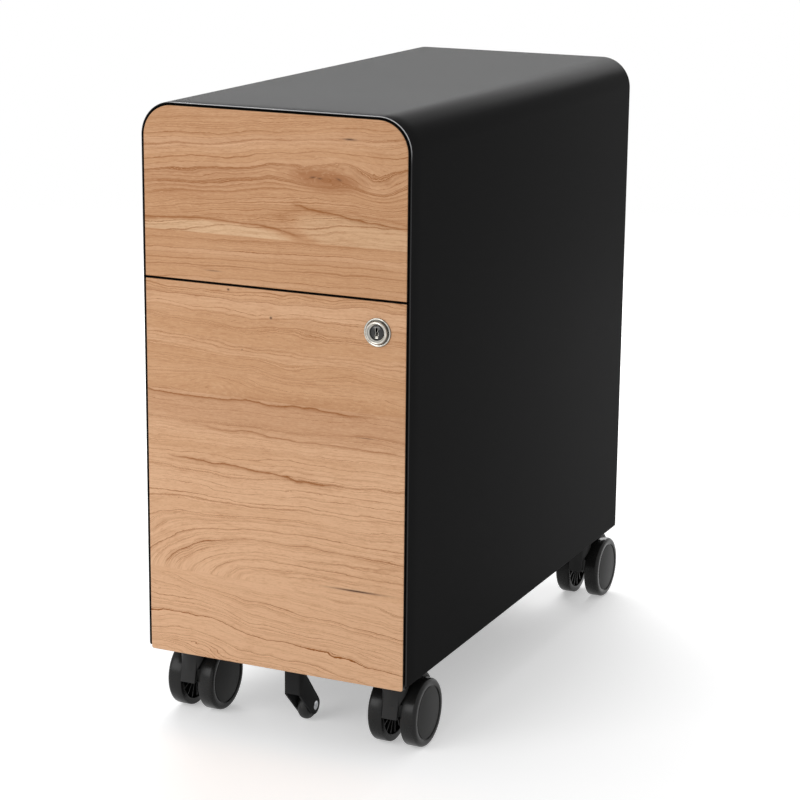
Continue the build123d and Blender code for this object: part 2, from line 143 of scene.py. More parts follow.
class LockSizes(bpy.types.PropertyGroup):
    """Sizes of the cam lock."""

    flange: length("Flange radius", "Radius of the flange on the wood", 13.2)
    rim: length("Flange rim", "How far the flange stands off the wood", 1.4)
    ring: length("Ring radius", "Outer radius of the raised ring", 10.6)
    crest: length("Crest radius", "Radius of the ring's crest", 9.1)
    bore: length("Bore radius", "Radius of the plug's bore", 6.75)
    body: length("Body radius", "Radius of the lock's body", 9.4)
    tail: length("Tail radius", "Radius of the plug's tail in the cam", 4.0)
    recess: length("Recess", "How far the plug sits below the ring's crest", 2.2)
    keyway: length("Keyway", "Width of the keyway", 2.3)
    keyway_height: length("Keyway height", "Height of the keyway", 9.4)
    keyway_depth: length("Keyway depth", "Depth of the keyway", 9.0)
    keyway_lip: length("Keyway lip", "Width of the bright lip round the keyway", 0.35)
    wafer: length("Wafer", "Thickness of a wafer in the keyway", 0.6)
    wafer_step: length("Wafer step", "Distance from wafer to wafer", 2.4)


class WheelSizes(bpy.types.PropertyGroup):
    """Sizes of the caster wheels."""

    shoulder: length("Shoulder", "Rounding between tread and outer face", 3.6)
    disc: length("Disc radius", "Radius of the disc on the outer face", 25.2)
    groove: length("Groove", "Width of the groove round the disc", 1.1)
    groove_depth: length("Groove depth", "Depth of the groove round the disc", 1.2)
    hollow: length("Hollow radius", "Radius of the hollow on the inner side", 26.8)
    hub: length("Hub radius", "Radius of the wheel's hub", 8.0)
    wall: length("Wheel wall", "Thickness behind the outer face", 6.5)
    axle: length("Axle radius", "Radius of the axle", 4.0)
    axle_depth: length("Axle depth", "How far the axle goes into a wheel", 12.0)
    rib_gap: length("Rib gap", "How far the ribs stay below the inner side", 1.2)
    ribs: count("Ribs", "Ribs in the hollow", 16, 4)
    steps: count("Steps", "Steps round a wheel", 96, 24)


class HoodSizes(bpy.types.PropertyGroup):
    """Sizes of the caster hoods."""

    width: length("Width", "Width of the hood between the wheels", 17.0)
    wall: length("Front wall", "Thickness of the leaning front wall", 4.0)
    lean: length("Lean", "How far the front wall leans back at its top", 8.0)
    wall_foot: length("Wall foot", "Height of the front wall's foot over the axle", 2.0)
    wall_inset: length("Wall inset", "How far the front wall stays inside the hood's sides", 0.6)
    trail: length("Trail", "How far the swivel stem stands ahead of the axle", 22.5)
    arm: length("Arm radius", "Half width of the arm from the boss to the axle", 9.0)
    arm_drop: length("Arm drop", "How far the arm's head lies below the hood's top", 18.0)
    boss: length("Boss radius", "Radius of the swivel boss", 12.5)
    boss_height: length("Boss height", "Height of the swivel boss", 26.0)
    stem: length("Stem bore", "Radius of the swivel stem's bore", 4.55)
    stem_depth: length("Stem depth", "Depth of the swivel stem's bore", 22.0)
    fender: length("Fender radius", "Inner radius of the fender over the wheels", 35.6)
    fender_wall: length("Fender wall", "Thickness of the fender", 3.4)
    fender_start: angle("Fender start", "Angle above level at which the fender starts behind", 36.0)
    fender_sweep: angle("Fender sweep", "How far round the wheels the fender goes", 86.0)


class TipSizes(bpy.types.PropertyGroup):
    """Sizes of the anti-tip wheel and its bracket."""

    sheet: length("Sheet", "Thickness of the bracket's sheet", 2.0)
    fold: length("Fold", "Outer radius of the bracket's folds", 2.4)
    cut_ease: length("Cut ease", "Rounding of the bracket's cut edges", 0.25)
    end: length("End radius", "Radius of the cheeks round the roller's axle", 9.0)
    knee: length("Knee", "Height at which the front plate ends", 37.5)
    heel: length("Heel", "Height at which the cheeks start to sweep in at the back", 56.0)
    heel_depth: length("Heel depth", "Depth of the cheeks at the heel", 13.0)
    foot: length("Foot", "Length of the foot under the drawer", 40.0)
    bore: length("Roller bore", "Radius of the roller's bore", 2.55)
    hub: length("Roller hub", "Radius of the roller's hub", 6.0)
    tread: length("Tread", "Height of the roller's tread over its sides", 2.6)
    crown: length("Crown", "Rounding of the roller's edges", 4.0)
    shank: length("Rivet shank", "Radius of the rivet's shank", 2.5)
    head: length("Rivet head", "Height of the rivet's domes", 1.4)


class ScrewSizes(bpy.types.PropertyGroup):
    """Head radii of the screws."""

    back: length("Back", "Screws of the back panel", 3.6)
    front: length("Front", "Screws that hold the drawer fronts", 4.2)
    rail: length("Rail", "Screws of the slides", 3.4)
    bracket: length("Bracket", "Screws of the anti-tip bracket", 4.0)
    cam: length("Cam", "Screw of the lock's cam", 5.0)


class Finishes(bpy.types.PropertyGroup):
    """Colours of the finishes, linear."""

    coat: colour("Coat", "Black powder coat of the steel", (0.016, 0.016, 0.0162))
    wood_pale: colour("Pale wood", "Pale tone of the wood", (0.8, 0.49, 0.295))
    wood_mid: colour("Middle wood", "Middle tone of the wood", (0.66, 0.37, 0.198))
    wood_red: colour("Red wood", "Redder and darker tone of the wood", (0.43, 0.19, 0.082))
    wood_sap: colour("Sapwood", "Palest tone of the wood", (0.8, 0.53, 0.32))
    wood_line: colour("Grain", "Tone of the grain's lines", (0.3, 0.1, 0.018))
    wood_fleck: colour("Flecks", "Tone of the dark flecks", (0.05, 0.022, 0.015))
    # black on the boards' narrow edges: painted shade standing in for the dark narrow gaps round
    # the fronts
    painted_gap_shade: colour("Gap shade", "Stain on the boards' narrow edges", (0.012, 0.009, 0.007))
    nickel: colour("Nickel", "Plated metal of the lock", (0.66, 0.635, 0.575))
    # also the colour of the painted shade in the lock's grooves
    plug: colour("Plug", "Dark metal of the lock's plug", (0.055, 0.055, 0.055))
    zinc: colour("Zinc", "Plated steel of slides and fasteners", (0.52, 0.53, 0.55))
    hood: colour("Hood", "Moulded plastic of the hoods", (0.013, 0.013, 0.013))
    wheel: colour("Wheel", "Moulded plastic of the wheels", (0.015, 0.015, 0.0147))
    latch: colour("Latch", "Moulded plastic of the push latch", (0.16, 0.16, 0.16))
    floor: colour("Floor", "Pale floor", (0.92, 0.92, 0.92))


class StageSettings(bpy.types.PropertyGroup):
    """Camera, floor and sky."""

    place: FloatVectorProperty(
        name="Camera",
        description="Where the camera stands",
        default=(0.9888, -2.168, 0.8753),
        unit="LENGTH",
    )
    yaw: angle("Yaw", "Turn of the camera about the vertical", 24.642)
    pitch: angle("Pitch", "How far the camera looks down", 14.207)
    roll: angle("Roll", "Turn of the camera about its view", 0.585)
    lens: optics("Lens", "Focal length in millimetres", 107.157)
    sensor: optics("Sensor", "Width of the sensor in millimetres", 36)
    floor: length("Floor", "Side of the floor", 40000.0)
    fade_start: length("Fade start", "Distance at which the floor starts to fade", 1200.0)
    fade_end: length("Fade end", "Distance at which the floor has faded", 3000.0)
    floor_lift: share("Floor lift", "White that the floor gives off where it is seen", 0.39)
    sky_light: share("Sky light", "Strength of the light from the sky", 0.5)


# Finishes


class Signal:
    """A number that varies over a surface. Arithmetic with it adds nodes to its tree."""

    def __init__(self, nodes, socket):
        self.nodes = nodes
        self.socket = socket

    def __add__(self, other):
        return self.nodes.math("ADD", self, other)

    def __sub__(self, other):
        return self.nodes.math("SUBTRACT", self, other)

    def __rsub__(self, other):
        return self.nodes.math("SUBTRACT", other, self)

    def __mul__(self, other):
        return self.nodes.math("MULTIPLY", self, other)

    def __truediv__(self, other):
        return self.nodes.math("DIVIDE", self, other)

    def __abs__(self):
        return self.nodes.math("ABSOLUTE", self)


class Nodes:
    """Node tree of a material or a world."""

    def __init__(self, owner):
        owner.use_nodes = True
        self.tree = owner.node_tree

    def feed(self, socket, value):
        """Link a socket to another, or set its value."""
        if isinstance(value, Signal):
            value = value.socket
        if isinstance(value, bpy.types.NodeSocket):
            self.tree.links.new(value, socket)
        else:
            socket.default_value = value

    def add(self, kind, values=(), **settings):
        """A node with its settings, its inputs fed in order or by name."""
        node = self.tree.nodes.new(kind)
        for key, value in settings.items():
            setattr(node, key, value)
        pairs = values.items() if isinstance(values, dict) else enumerate(values)
        for key, value in pairs:
            self.feed(node.inputs[key], value)
        return node

    def math(self, operation, *values):
        """One step of arithmetic."""
        return Signal(self, self.add("ShaderNodeMath", values, operation=operation).outputs[0])

    def ranged(self, value, low, high, new_low=0.0, new_high=1.0):
        """A value carried smoothly from one range to another."""
        values = (value, low, high, new_low, new_high)
        node = self.add("ShaderNodeMapRange", values, interpolation_type="SMOOTHSTEP")
        return Signal(self, node.outputs[0])

    def seen_directly(self):
        """1 for rays from the camera and for mirrored or refracted ones, else 0."""
        path = self.add("ShaderNodeLightPath").outputs
        bent = self.math("MAXIMUM", path["Is Glossy Ray"], path["Is Transmission Ray"])
        return self.math("MAXIMUM", path["Is Camera Ray"], bent)


class Finish(Nodes):
    """One procedural material on object coordinates."""

    def __init__(self, name):
        self.material = bpy.data.materials.new(name)
        super().__init__(self.material)
        self.surface = self.tree.nodes["Principled BSDF"]
        self.place = self.add("ShaderNodeTexCoord").outputs["Object"]

    def set(self, **values):
        """Set inputs of the surface shader."""
        for key, value in values.items():
            name = key.replace("_", " ").title().replace("Ior", "IOR")
            self.feed(self.surface.inputs[name], value)

    def axes(self):
        """The three object coordinates, one by one."""
        split = self.add("ShaderNodeSeparateXYZ", [self.place])
        return [Signal(self, socket) for socket in split.outputs]

    def mapped(self, vector, scale, shift=(0, 0, 0)):
        """A vector stretched by a scale and moved."""
        values = {"Vector": vector, "Scale": scale, "Location": shift}
        return self.add("ShaderNodeMapping", values).outputs[0]

    def reach(self, vector):
        """Length of a vector."""
        node = self.add("ShaderNodeVectorMath", [vector], operation="LENGTH")
        return Signal(self, node.outputs["Value"])

    def noise(self, vector, scale=1.0, detail=2.0, roughness=0.5):
        """Smooth noise about 0.5."""
        values = {"Vector": vector, "Scale": scale, "Detail": detail, "Roughness": roughness}
        return Signal(self, self.add("ShaderNodeTexNoise", values).outputs["Fac"])

    def fall(self, value):
        """1 at zero, falling off as the value grows."""
        return self.math("EXPONENT", value * -1.0)

    def mix(self, factor, first, second):
        """Two colours mixed."""
        node = self.add("ShaderNodeMix", [factor], data_type="RGBA")
        for socket, value in zip(node.inputs[6:8], (first, second)):
            linked = isinstance(value, bpy.types.NodeSocket)
            self.feed(socket, value if linked else (*value, 1.0))
        return node.outputs[2]

    def bump(self, height, strength, distance):
        """Raise the surface by a height."""
        values = {"Strength": strength, "Distance": distance, "Height": height}
        node = self.add("ShaderNodeBump", values)
        self.feed(self.surface.inputs["Normal"], node.outputs[0])


# Paleness of the rim's painted highlight beside the coat, and a brushed metal's repeats per metre
RIM_HIGHLIGHT = 34
LINES_ALONG = 40.0
LINES_ACROSS = 2200.0


def toned(tone, part):
    """A colour made darker or lighter."""
    return [part * value for value in tone]


def powder_coat(name, tone, roughness=0.34, level=0.0014):
    """Satin black powder coat with a fine grain."""
    coat = Finish(name)
    grain = coat.noise(coat.place, scale=2600, roughness=0.6)
    coat.set(base_color=coat.mix(grain, toned(tone, 0.8), toned(tone, 1.2)))
    coat.set(roughness=coat.ranged(grain, 0.3, 0.7, roughness - 0.04, roughness + 0.04))
    coat.set(specular_ior_level=level)
    coat.bump(grain, strength=0.1, distance=0.06 * MM)
    return coat.material


def rim_highlight_coat(size, tone):
    """Powder coat painted paler along the rim's top as a painted highlight, fading round the
    corners.
    """
    coat = Finish("painted_rim_highlight")
    low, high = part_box("casing_wrap")
    x, _, z = coat.axes()
    foot, crown = high.z - 1.35 * size.corner, high.z - 0.4 * size.corner
    begin, full = low.x + 0.7 * size.corner, low.x + 1.2 * size.corner
    # painted highlight: paler along the rim's top, fading down both corners and gone round the left
    # one
    highlight = coat.ranged(z, foot, crown) * coat.ranged(x, begin, full)
    coat.set(base_color=coat.mix(highlight, tone, toned(tone, RIM_HIGHLIGHT)))
    coat.set(roughness=0.4, specular_ior_level=0.3)
    return coat.material


def brushed(name, tone, roughness, along):
    """Plated or brushed metal with fine lines along one axis."""
    metal = Finish(name)
    scale = [LINES_ALONG if axis == along else LINES_ACROSS for axis in "XYZ"]
    lines = metal.noise(metal.mapped(metal.place, scale), detail=3)
    cloud = metal.noise(metal.place, scale=90, detail=3)
    metal.set(metallic=1.0, base_color=metal.mix(cloud, toned(tone, 0.86), tone))
    metal.set(roughness=metal.ranged(lines, 0.2, 0.8, roughness - 0.06, roughness + 0.08))
    metal.bump(lines, strength=0.05, distance=0.05 * MM)
    return metal.material


def plastic(name, tone, roughness, level=0.4):
    """Moulded plastic with a fine spark-eroded texture."""
    moulded = Finish(name)
    grain = moulded.noise(moulded.place, scale=1800, roughness=0.6)
    drift = moulded.noise(moulded.place, scale=60)
    moulded.set(base_color=moulded.mix(drift, toned(tone, 0.85), toned(tone, 1.15)))
    moulded.set(roughness=moulded.ranged(grain, 0.25, 0.75, roughness - 0.05, roughness + 0.05))
    moulded.set(specular_ior_level=level)
    moulded.bump(grain, strength=0.1, distance=0.1 * MM)
    return moulded.material


# Steps that shape the pieces


def centre_of(node):
    """Middle of a packed piece's box."""
    low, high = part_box(node)
    return (low + high) / 2


def half_of(node):
    """Half the size of a packed piece's box."""
    low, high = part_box(node)
    return (high - low) / 2


def rotation(degrees, axis):
    """A turn about one axis of the frame."""
    return Matrix.Rotation(math.radians(degrees), 4, axis)


def chain(bm, points, closed=False):
    """Edges through points, in order."""
    verts = [bm.verts.new(point) for point in points]
    ends = verts[1:] + verts[:1] if closed else verts[1:]
    return [bm.edges.new(pair) for pair in zip(verts, ends)]


def verts_of(parts):
    """The vertices among the parts that an operator made."""
    return [part for part in parts if isinstance(part, bmesh.types.BMVert)]


def along(edge, axis):
    """Whether an edge runs along an axis."""
    run = edge.verts[1].co - edge.verts[0].co
    return abs(run[axis]) > 0.99 * run.length


def edges_at(bm, axis, level):
    """Edges that lie in a plane across an axis."""
    return [e for e in bm.edges if all(abs(v.co[axis] - level) < NEAR for v in e.verts)]


def sharp_edges(bm, degrees):
    """Edges at which the surface turns by more than an angle."""
    limit = math.radians(degrees)
    return [e for e in bm.edges if e.is_manifold and e.calc_face_angle() > limit]


def outward(bm):
    """Turn all faces to the outside."""
    bmesh.ops.recalc_face_normals(bm, faces=bm.faces[:])


def pull(bm, edges, move):
    """Extrude edges by a move."""
    made = bmesh.ops.extrude_edge_only(bm, edges=edges)["geom"]
    bmesh.ops.translate(bm, verts=verts_of(made), vec=move)


def ease(bm, edges, radius, segments):
    """Round edges, and give the new faces."""
    made = bmesh.ops.bevel(
        bm,
        geom=edges,
        offset=radius,
        offset_type="OFFSET",
        segments=segments,
        profile=0.5,
        affect="EDGES",
        material=-1,
    )
    return made["faces"]


def block(low, high):
    """A box between two corners."""
    bm = bmesh.new()
    low, high = Vector(low), Vector(high)
    place = Matrix.LocRotScale((low + high) / 2, None, high - low)
    bmesh.ops.create_cube(bm, size=1, matrix=place)
    return bm


def rod(radius, start, end, steps=64):
    """A round rod along X, about the X axis."""
    bm = bmesh.new()
    bmesh.ops.create_cone(
        bm,
        cap_ends=True,
        segments=steps,
        radius1=radius,
        radius2=radius,
        depth=end - start,
        matrix=Matrix.Translation(((start + end) / 2, 0, 0)) @ rotation(90, "Y"),
    )
    return bm


def prism(points, start, end):
    """A closed (y, z) outline carried along X."""
    bm = bmesh.new()
    edges = chain(bm, [(start, y, z) for y, z in points], closed=True)
    face = bmesh.ops.contextual_create(bm, geom=edges)["faces"]
    made = bmesh.ops.extrude_face_region(bm, geom=face)["geom"]
    bmesh.ops.translate(bm, verts=verts_of(made), vec=(end - start, 0, 0))
    outward(bm)
    return bm


def turned(profile, steps, closed=False):
    """A (x, radius) profile turned about the X axis."""
    bm = bmesh.new()
    edges = chain(bm, [(x, 0, radius) for x, radius in profile], closed)
    bmesh.ops.spin(
        bm,
        geom=edges,
        cent=(0, 0, 0),
        axis=(1, 0, 0),
        angle=math.tau,
        steps=steps,
        use_merge=True,
        use_duplicate=False,
    )
    bmesh.ops.remove_doubles(bm, verts=bm.verts[:], dist=MERGE)
    outward(bm)
    return bm


def placed(bm, matrix):
    """The same bmesh, carried to its place."""
    bmesh.ops.transform(bm, matrix=matrix, verts=bm.verts[:])
    if matrix.determinant() < 0:
        bmesh.ops.reverse_faces(bm, faces=bm.faces[:])
    return bm


def gathered(shapes):
    """Several bmeshes as one."""
    result = bmesh.new()
    for shape in shapes:
        mesh = bpy.data.meshes.new("gathered")
        shape.to_mesh(mesh)
        result.from_mesh(mesh)
        bpy.data.meshes.remove(mesh)
    return result


def combined(base, others, operation):
    """One closed mesh from a shape and others, joined or cut by Boolean modifiers."""
    holders = []
    for shape in (base, *others):
        mesh = bpy.data.meshes.new("combined")
        shape.to_mesh(mesh)
        holders.append(bpy.data.objects.new("combined", mesh))
        bpy.context.scene.collection.objects.link(holders[-1])
    for other in holders[1:]:
        step = holders[0].modifiers.new("combine", "BOOLEAN")
        step.operation = operation
        step.solver = "EXACT"
        step.object = other
    result = bmesh.new()
    result.from_object(holders[0], bpy.context.evaluated_depsgraph_get())
    bmesh.ops.remove_doubles(result, verts=result.verts[:], dist=MERGE)
    for holder in holders:
        mesh = holder.data
        bpy.data.objects.remove(holder)
        bpy.data.meshes.remove(mesh)
    return result


def finish_piece(bm, name, materials, body, nodes=(), sharp=32):
    """Turn a bmesh into a piece that rides on a body and may stand for packed nodes."""
    mesh = bpy.data.meshes.new(name)
    bm.to_mesh(mesh)
    bm.free()
    mesh.shade_smooth()
    mesh.set_sharp_from_angle(angle=math.radians(sharp))
    for material in materials:
        mesh.materials.append(material)
    piece = bpy.data.objects.new(name, mesh)
    bpy.context.scene.collection.objects.link(piece)
    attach(piece, body)
    if nodes:
        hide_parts(*nodes)


# Casing


def wrap_shape(size):
    """Casing's sheet: sides and top in one bend, edges turned in at the bottom."""
    low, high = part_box("casing_wrap")
    bm = bmesh.new()
    lip = high.x - size.foot_flange
    left = ((-lip, low.z), (low.x, low.z), (low.x, high.z))
    right = ((high.x, high.z), (high.x, low.z), (lip, low.z))
    outline = chain(bm, [(x, low.y, z) for x, z in (*left, *right)])
    pull(bm, outline, (0, high.y - low.y, 0))
    outward(bm)
    for level, radius, segments in ((high.z, size.corner, 20), (low.z, size.foot_bend, 6)):
        folds = [e for e in edges_at(bm, 2, level) if along(e, 1) and len(e.link_faces) == 2]
        ease(bm, folds, radius, segments)
    relief = low.y + size.foot_relief
    parts = bm.verts[:] + bm.edges[:] + bm.faces[:]
    bmesh.ops.bisect_plane(bm, geom=parts, plane_co=(0, relief, 0), plane_no=(0, 1, 0))
    inside = high.x - size.sheet
    ahead = []
    for face in bm.faces:
        centre = face.calc_center_median()
        low_down = centre.z < low.z + size.foot_bend
        if centre.y < relief and low_down and abs(centre.x) < inside:
            ahead.append(face)
    bmesh.ops.delete(bm, geom=ahead, context="FACES")
    bmesh.ops.solidify(bm, geom=bm.faces[:], thickness=size.sheet)
    ease(bm, sharp_edges(bm, degrees=80), size.rim_ease, segments=3)
    return bm


def mark_rim_highlight(bm, size):
    """Give the front rim's outer rounding its second finish, the painted highlight."""
    bm.normal_update()
    low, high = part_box("casing_wrap")
    reach, rise = high.x - size.corner, high.z - size.corner
    for face in bm.faces:
        centre = face.calc_center_median()
        radius = math.hypot(max(abs(centre.x) - reach, 0), max(centre.z - rise, 0))
        outer = radius > size.corner - size.sheet / 2 and centre.z > low.z + size.corner
        if outer and -0.99 < face.normal.y < -0.1:
            face.material_index = 1
    return bm


def back_shape(size):
    """Back panel: a shallow pan with rounded top corners, open towards the front."""
    low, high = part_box("back_panel")
    bm = bmesh.new()
    outline = ((low.x, low.z), (high.x, low.z), (high.x, high.z), (low.x, high.z))
    edges = chain(bm, [(x, high.y, z) for x, z in outline], closed=True)
    bmesh.ops.contextual_create(bm, geom=edges)
    pull(bm, edges, (0, low.y - high.y, 0))
    outward(bm)
    corners = [e for e in edges_at(bm, 2, high.z) if along(e, 1)]
    ease(bm, corners, size.pan_corner, segments=14)
    ease(bm, edges_at(bm, 1, high.y), size.pan_bend, segments=5)
    panel = max(bm.faces, key=lambda face: face.calc_area())
    if panel.normal.y < 0:
        bmesh.ops.reverse_faces(bm, faces=bm.faces[:])
    bmesh.ops.solidify(bm, geom=bm.faces[:], thickness=size.sheet)
    return bm


class CABINET_OT_casing(bpy.types.Operator):
    """Bent steel casing and its back panel"""

    bl_idname = "cabinet.casing"
    bl_label = "Casing"

    def execute(self, context):
        size = context.scene.cabinet_casing
        tone = context.scene.cabinet_finishes.coat
        coat = powder_coat("black_powder_coat", tone)
        sheet = mark_rim_highlight(wrap_shape(size), size)
        # the rim's outer rounding gets the painted highlight as its second finish
        finishes = [coat, rim_highlight_coat(size, tone)]
        finish_piece(sheet, "casing_sheet", finishes, "casing", ["casing_wrap"])
        finish_piece(back_shape(size), "rear_panel", [coat], "casing", ["back_panel"])
        return {"FINISHED"}


# Drawer fronts


def board_shape(node, size, top=0, foot=0):
    """Wooden board with rounded corners and eased face edges."""
    low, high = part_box(node)
    bm = block(low, high)
    for level, radius, segments in ((high.z, top, 18), (low.z, foot, 6)):
        if radius:
            ease(bm, [e for e in edges_at(bm, 2, level) if along(e, 1)], radius, segments)
    for level, radius, segments in ((low.y, size.ease, 4), (high.y, size.back_ease, 2)):
        ease(bm, edges_at(bm, 1, level), radius, segments)
    return bm


def shade_board_edges(bm):
    """Give a board's narrow edges its second finish, black painted shade for the gaps round the
    fronts.
    """
    bm.normal_update()
    for face in bm.faces:
        face.material_index = int(abs(face.normal.y) < 0.2)
    return bm


def lock_turn(degrees):
    """Carries a piece about X onto the lock's axis: to the back by 90, to the front by -90."""
    middle = centre_of("lock_housing")
    return Matrix.Translation((middle.x, 0, middle.z)) @ rotation(degrees, "Z")


class CABINET_OT_fronts(bpy.types.Operator):
    """Wooden fronts of the two drawers"""

    bl_idname = "cabinet.fronts"
    bl_label = "Drawer fronts"

    def execute(self, context):
        size = context.scene.cabinet_fronts
        tones = context.scene.cabinet_finishes
        # painted shade of the narrow gaps, laid on the boards' edges
        gap_shade_finish = plastic("painted_gap_shade", tones.painted_gap_shade, roughness=0.5)
        finishes = [wood("upper_wood", tones, UPPER_BOARD), gap_shade_finish]
        upper = shade_board_edges(board_shape("upper_front", size, top=size.corner))
        finish_piece(
            upper, "upper_board", finishes, "upper_drawer", ["upper_front"]
        )
        finishes = [wood("lower_wood", tones, LOWER_BOARD), gap_shade_finish]
        low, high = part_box("lock_housing")
        past = 5 * MM
        bore = rod(context.scene.cabinet_lock.body + FIT, low.y, high.y + past)
        whole = board_shape("file_front", size, foot=size.foot)
        lower = shade_board_edges(combined(whole, [placed(bore, lock_turn(90))], "DIFFERENCE"))
        finish_piece(
            lower, "lower_board", finishes, "file_drawer", ["file_front"]
        )
        return {"FINISHED"}


# Wood of the fronts


class Stave(NamedTuple):
    """Grain of one stave: foot in metres, slope of its lines, pitch and wave in millimetres."""

    foot: float
    slope: float
    pitch: float
    wave: float
    line: float
    tone: float


class Spot(NamedTuple):
    """Oval on a board: centre and half sizes in metres, tilt, and how strongly it acts."""

    x: float
    z: float
    long: float
    high: float
    tilt: float
    share: float


class Fan(NamedTuple):
    """Arched grain in a stave: end of its arches, foot, top and fade in metres, and flatness."""

    x: float
    foot: float
    top: float
    fade: float
    flat: float


class Board(NamedTuple):
    """Grain of one front, laid out as a cabinet maker would choose it."""

    seed: float
    hair: float
    staves: tuple
    swells: tuple
    knot: Spot | None
    fan: Fan | None
    sap: tuple
    red: tuple
    seams: tuple
    flecks: tuple


class Streak(NamedTuple):
    """Noise drawn out along the grain: repeats per metre along and across it, and its detail."""

    along: float
    across: float
    detail: float = 2.0
    roughness: float = 0.5


UPPER_BOARD = Board(
    seed=3.0,
    hair=0.26,
    staves=(
        Stave(0.44, 0.03, 4.4, 3.0, 0.62, -0.25),
        Stave(0.4875, 0.075, 4.8, 14.0, 0.85, -0.2),
    ),
    swells=(
        Spot(0.045, 0.558, 0.05, 0.016, 0.0, 0.006),
        Spot(0.112, 0.538, 0.03, 0.022, 0.0, -0.015),
    ),
    knot=Spot(0.054, 0.5455, 0.036, 0.0115, -0.05, 0.9),
    fan=None,
    sap=(
        Spot(-0.062, 0.4865, 0.098, 0.0135, 0.0, 0.95),
        Spot(0.1, 0.4935, 0.085, 0.021, -0.12, 0.6),
    ),
    red=(
        Spot(0.054, 0.545, 0.045, 0.013, -0.05, 0.7),
        Spot(0.052, 0.547, 0.03, 0.0065, -0.05, 0.75),
        Spot(-0.08, 0.535, 0.1, 0.018, 0.08, 0.3),
    ),
    seams=(Spot(0.075, 0.514, 0.065, 0.0014, -0.13, 0.95),),
    flecks=(
        Spot(0.077, 0.583, 0.006, 0.0008, 0.0, 0.9),
        Spot(-0.0615, 0.453, 0.008, 0.0006, 0.0, 0.55),
        Spot(0.0405, 0.5468, 0.0028, 0.0008, 0.1, 0.6),
        Spot(0.0475, 0.5462, 0.0022, 0.0008, 0.0, 0.6),
        Spot(0.0665, 0.5466, 0.0026, 0.0009, -0.3, 0.6),
    ),
)
LOWER_BOARD = Board(
    seed=11.0,
    hair=0.08,
    staves=(
        Stave(0.07, -0.1, 12.5, 32.0, 1.25, 0.36),
        Stave(0.16, 0.0, 12.5, 16.0, 1.0, 0.3),
        Stave(0.336, -0.02, 14.0, 26.0, 1.2, -0.05),
    ),
    swells=(
        Spot(-0.09, 0.12, 0.06, 0.04, 0.0, 0.008),
        Spot(-0.06, 0.35, 0.04, 0.012, 0.0, 0.01),
    ),
    knot=None,
    fan=Fan(-0.01, 0.16, 0.245, 0.055, 0.38),
    sap=(),
    red=(Spot(0.02, 0.3225, 0.3, 0.024, 0.0, 0.38),),
    seams=(
        Spot(-0.02, 0.268, 0.1, 0.0015, -0.05, 1.0),
        Spot(-0.03, 0.333, 0.15, 0.0014, 0.0, 1.0),
        Spot(0.08, 0.19, 0.06, 0.0009, 0.04, 0.5),
        Spot(0.03, 0.302, 0.12, 0.0012, -0.02, 0.7),
    ),
    flecks=(
        Spot(0.086, 0.166, 0.024, 0.0009, 0.0, 1.0),
        Spot(-0.046, 0.437, 0.0011, 0.001, 0.0, 1.0),
        Spot(-0.002, 0.4147, 0.0012, 0.0011, 0.0, 1.0),
        Spot(-0.032, 0.382, 0.0007, 0.0006, 0.0, 0.6),
        Spot(0.095, 0.3128, 0.008, 0.0005, 0.0, 0.5),
    ),
)

LONG_WAVE = Streak(5, 16)
SHORT_WAVE = Streak(13, 22)
RIPPLE = Streak(26, 60)
TREMOR = Streak(110, 220, 4, 0.65)
SEAM_SWAY = Streak(15, 26)
LINE_STRENGTH = Streak(11, 45)
HAIR_STRENGTH = Streak(30, 130)
TONE_BANDS = Streak(3, 30, 3)
PATCH_EDGES = Streak(22, 60, 3)
FIBRES = Streak(24, 1000, 4, 0.7)
THREADS = Streak(60, 420, 3, 0.7)
DASHES = Streak(240, 1100, 2, 0.6)
PORES = Streak(150, 2400, 1)
LINE_CORE = 0.6 * MM
LINE_SHADE = 2.6 * MM
HAIR_PITCH = 2.4 * MM
SAP_RIM = 0.9 * MM


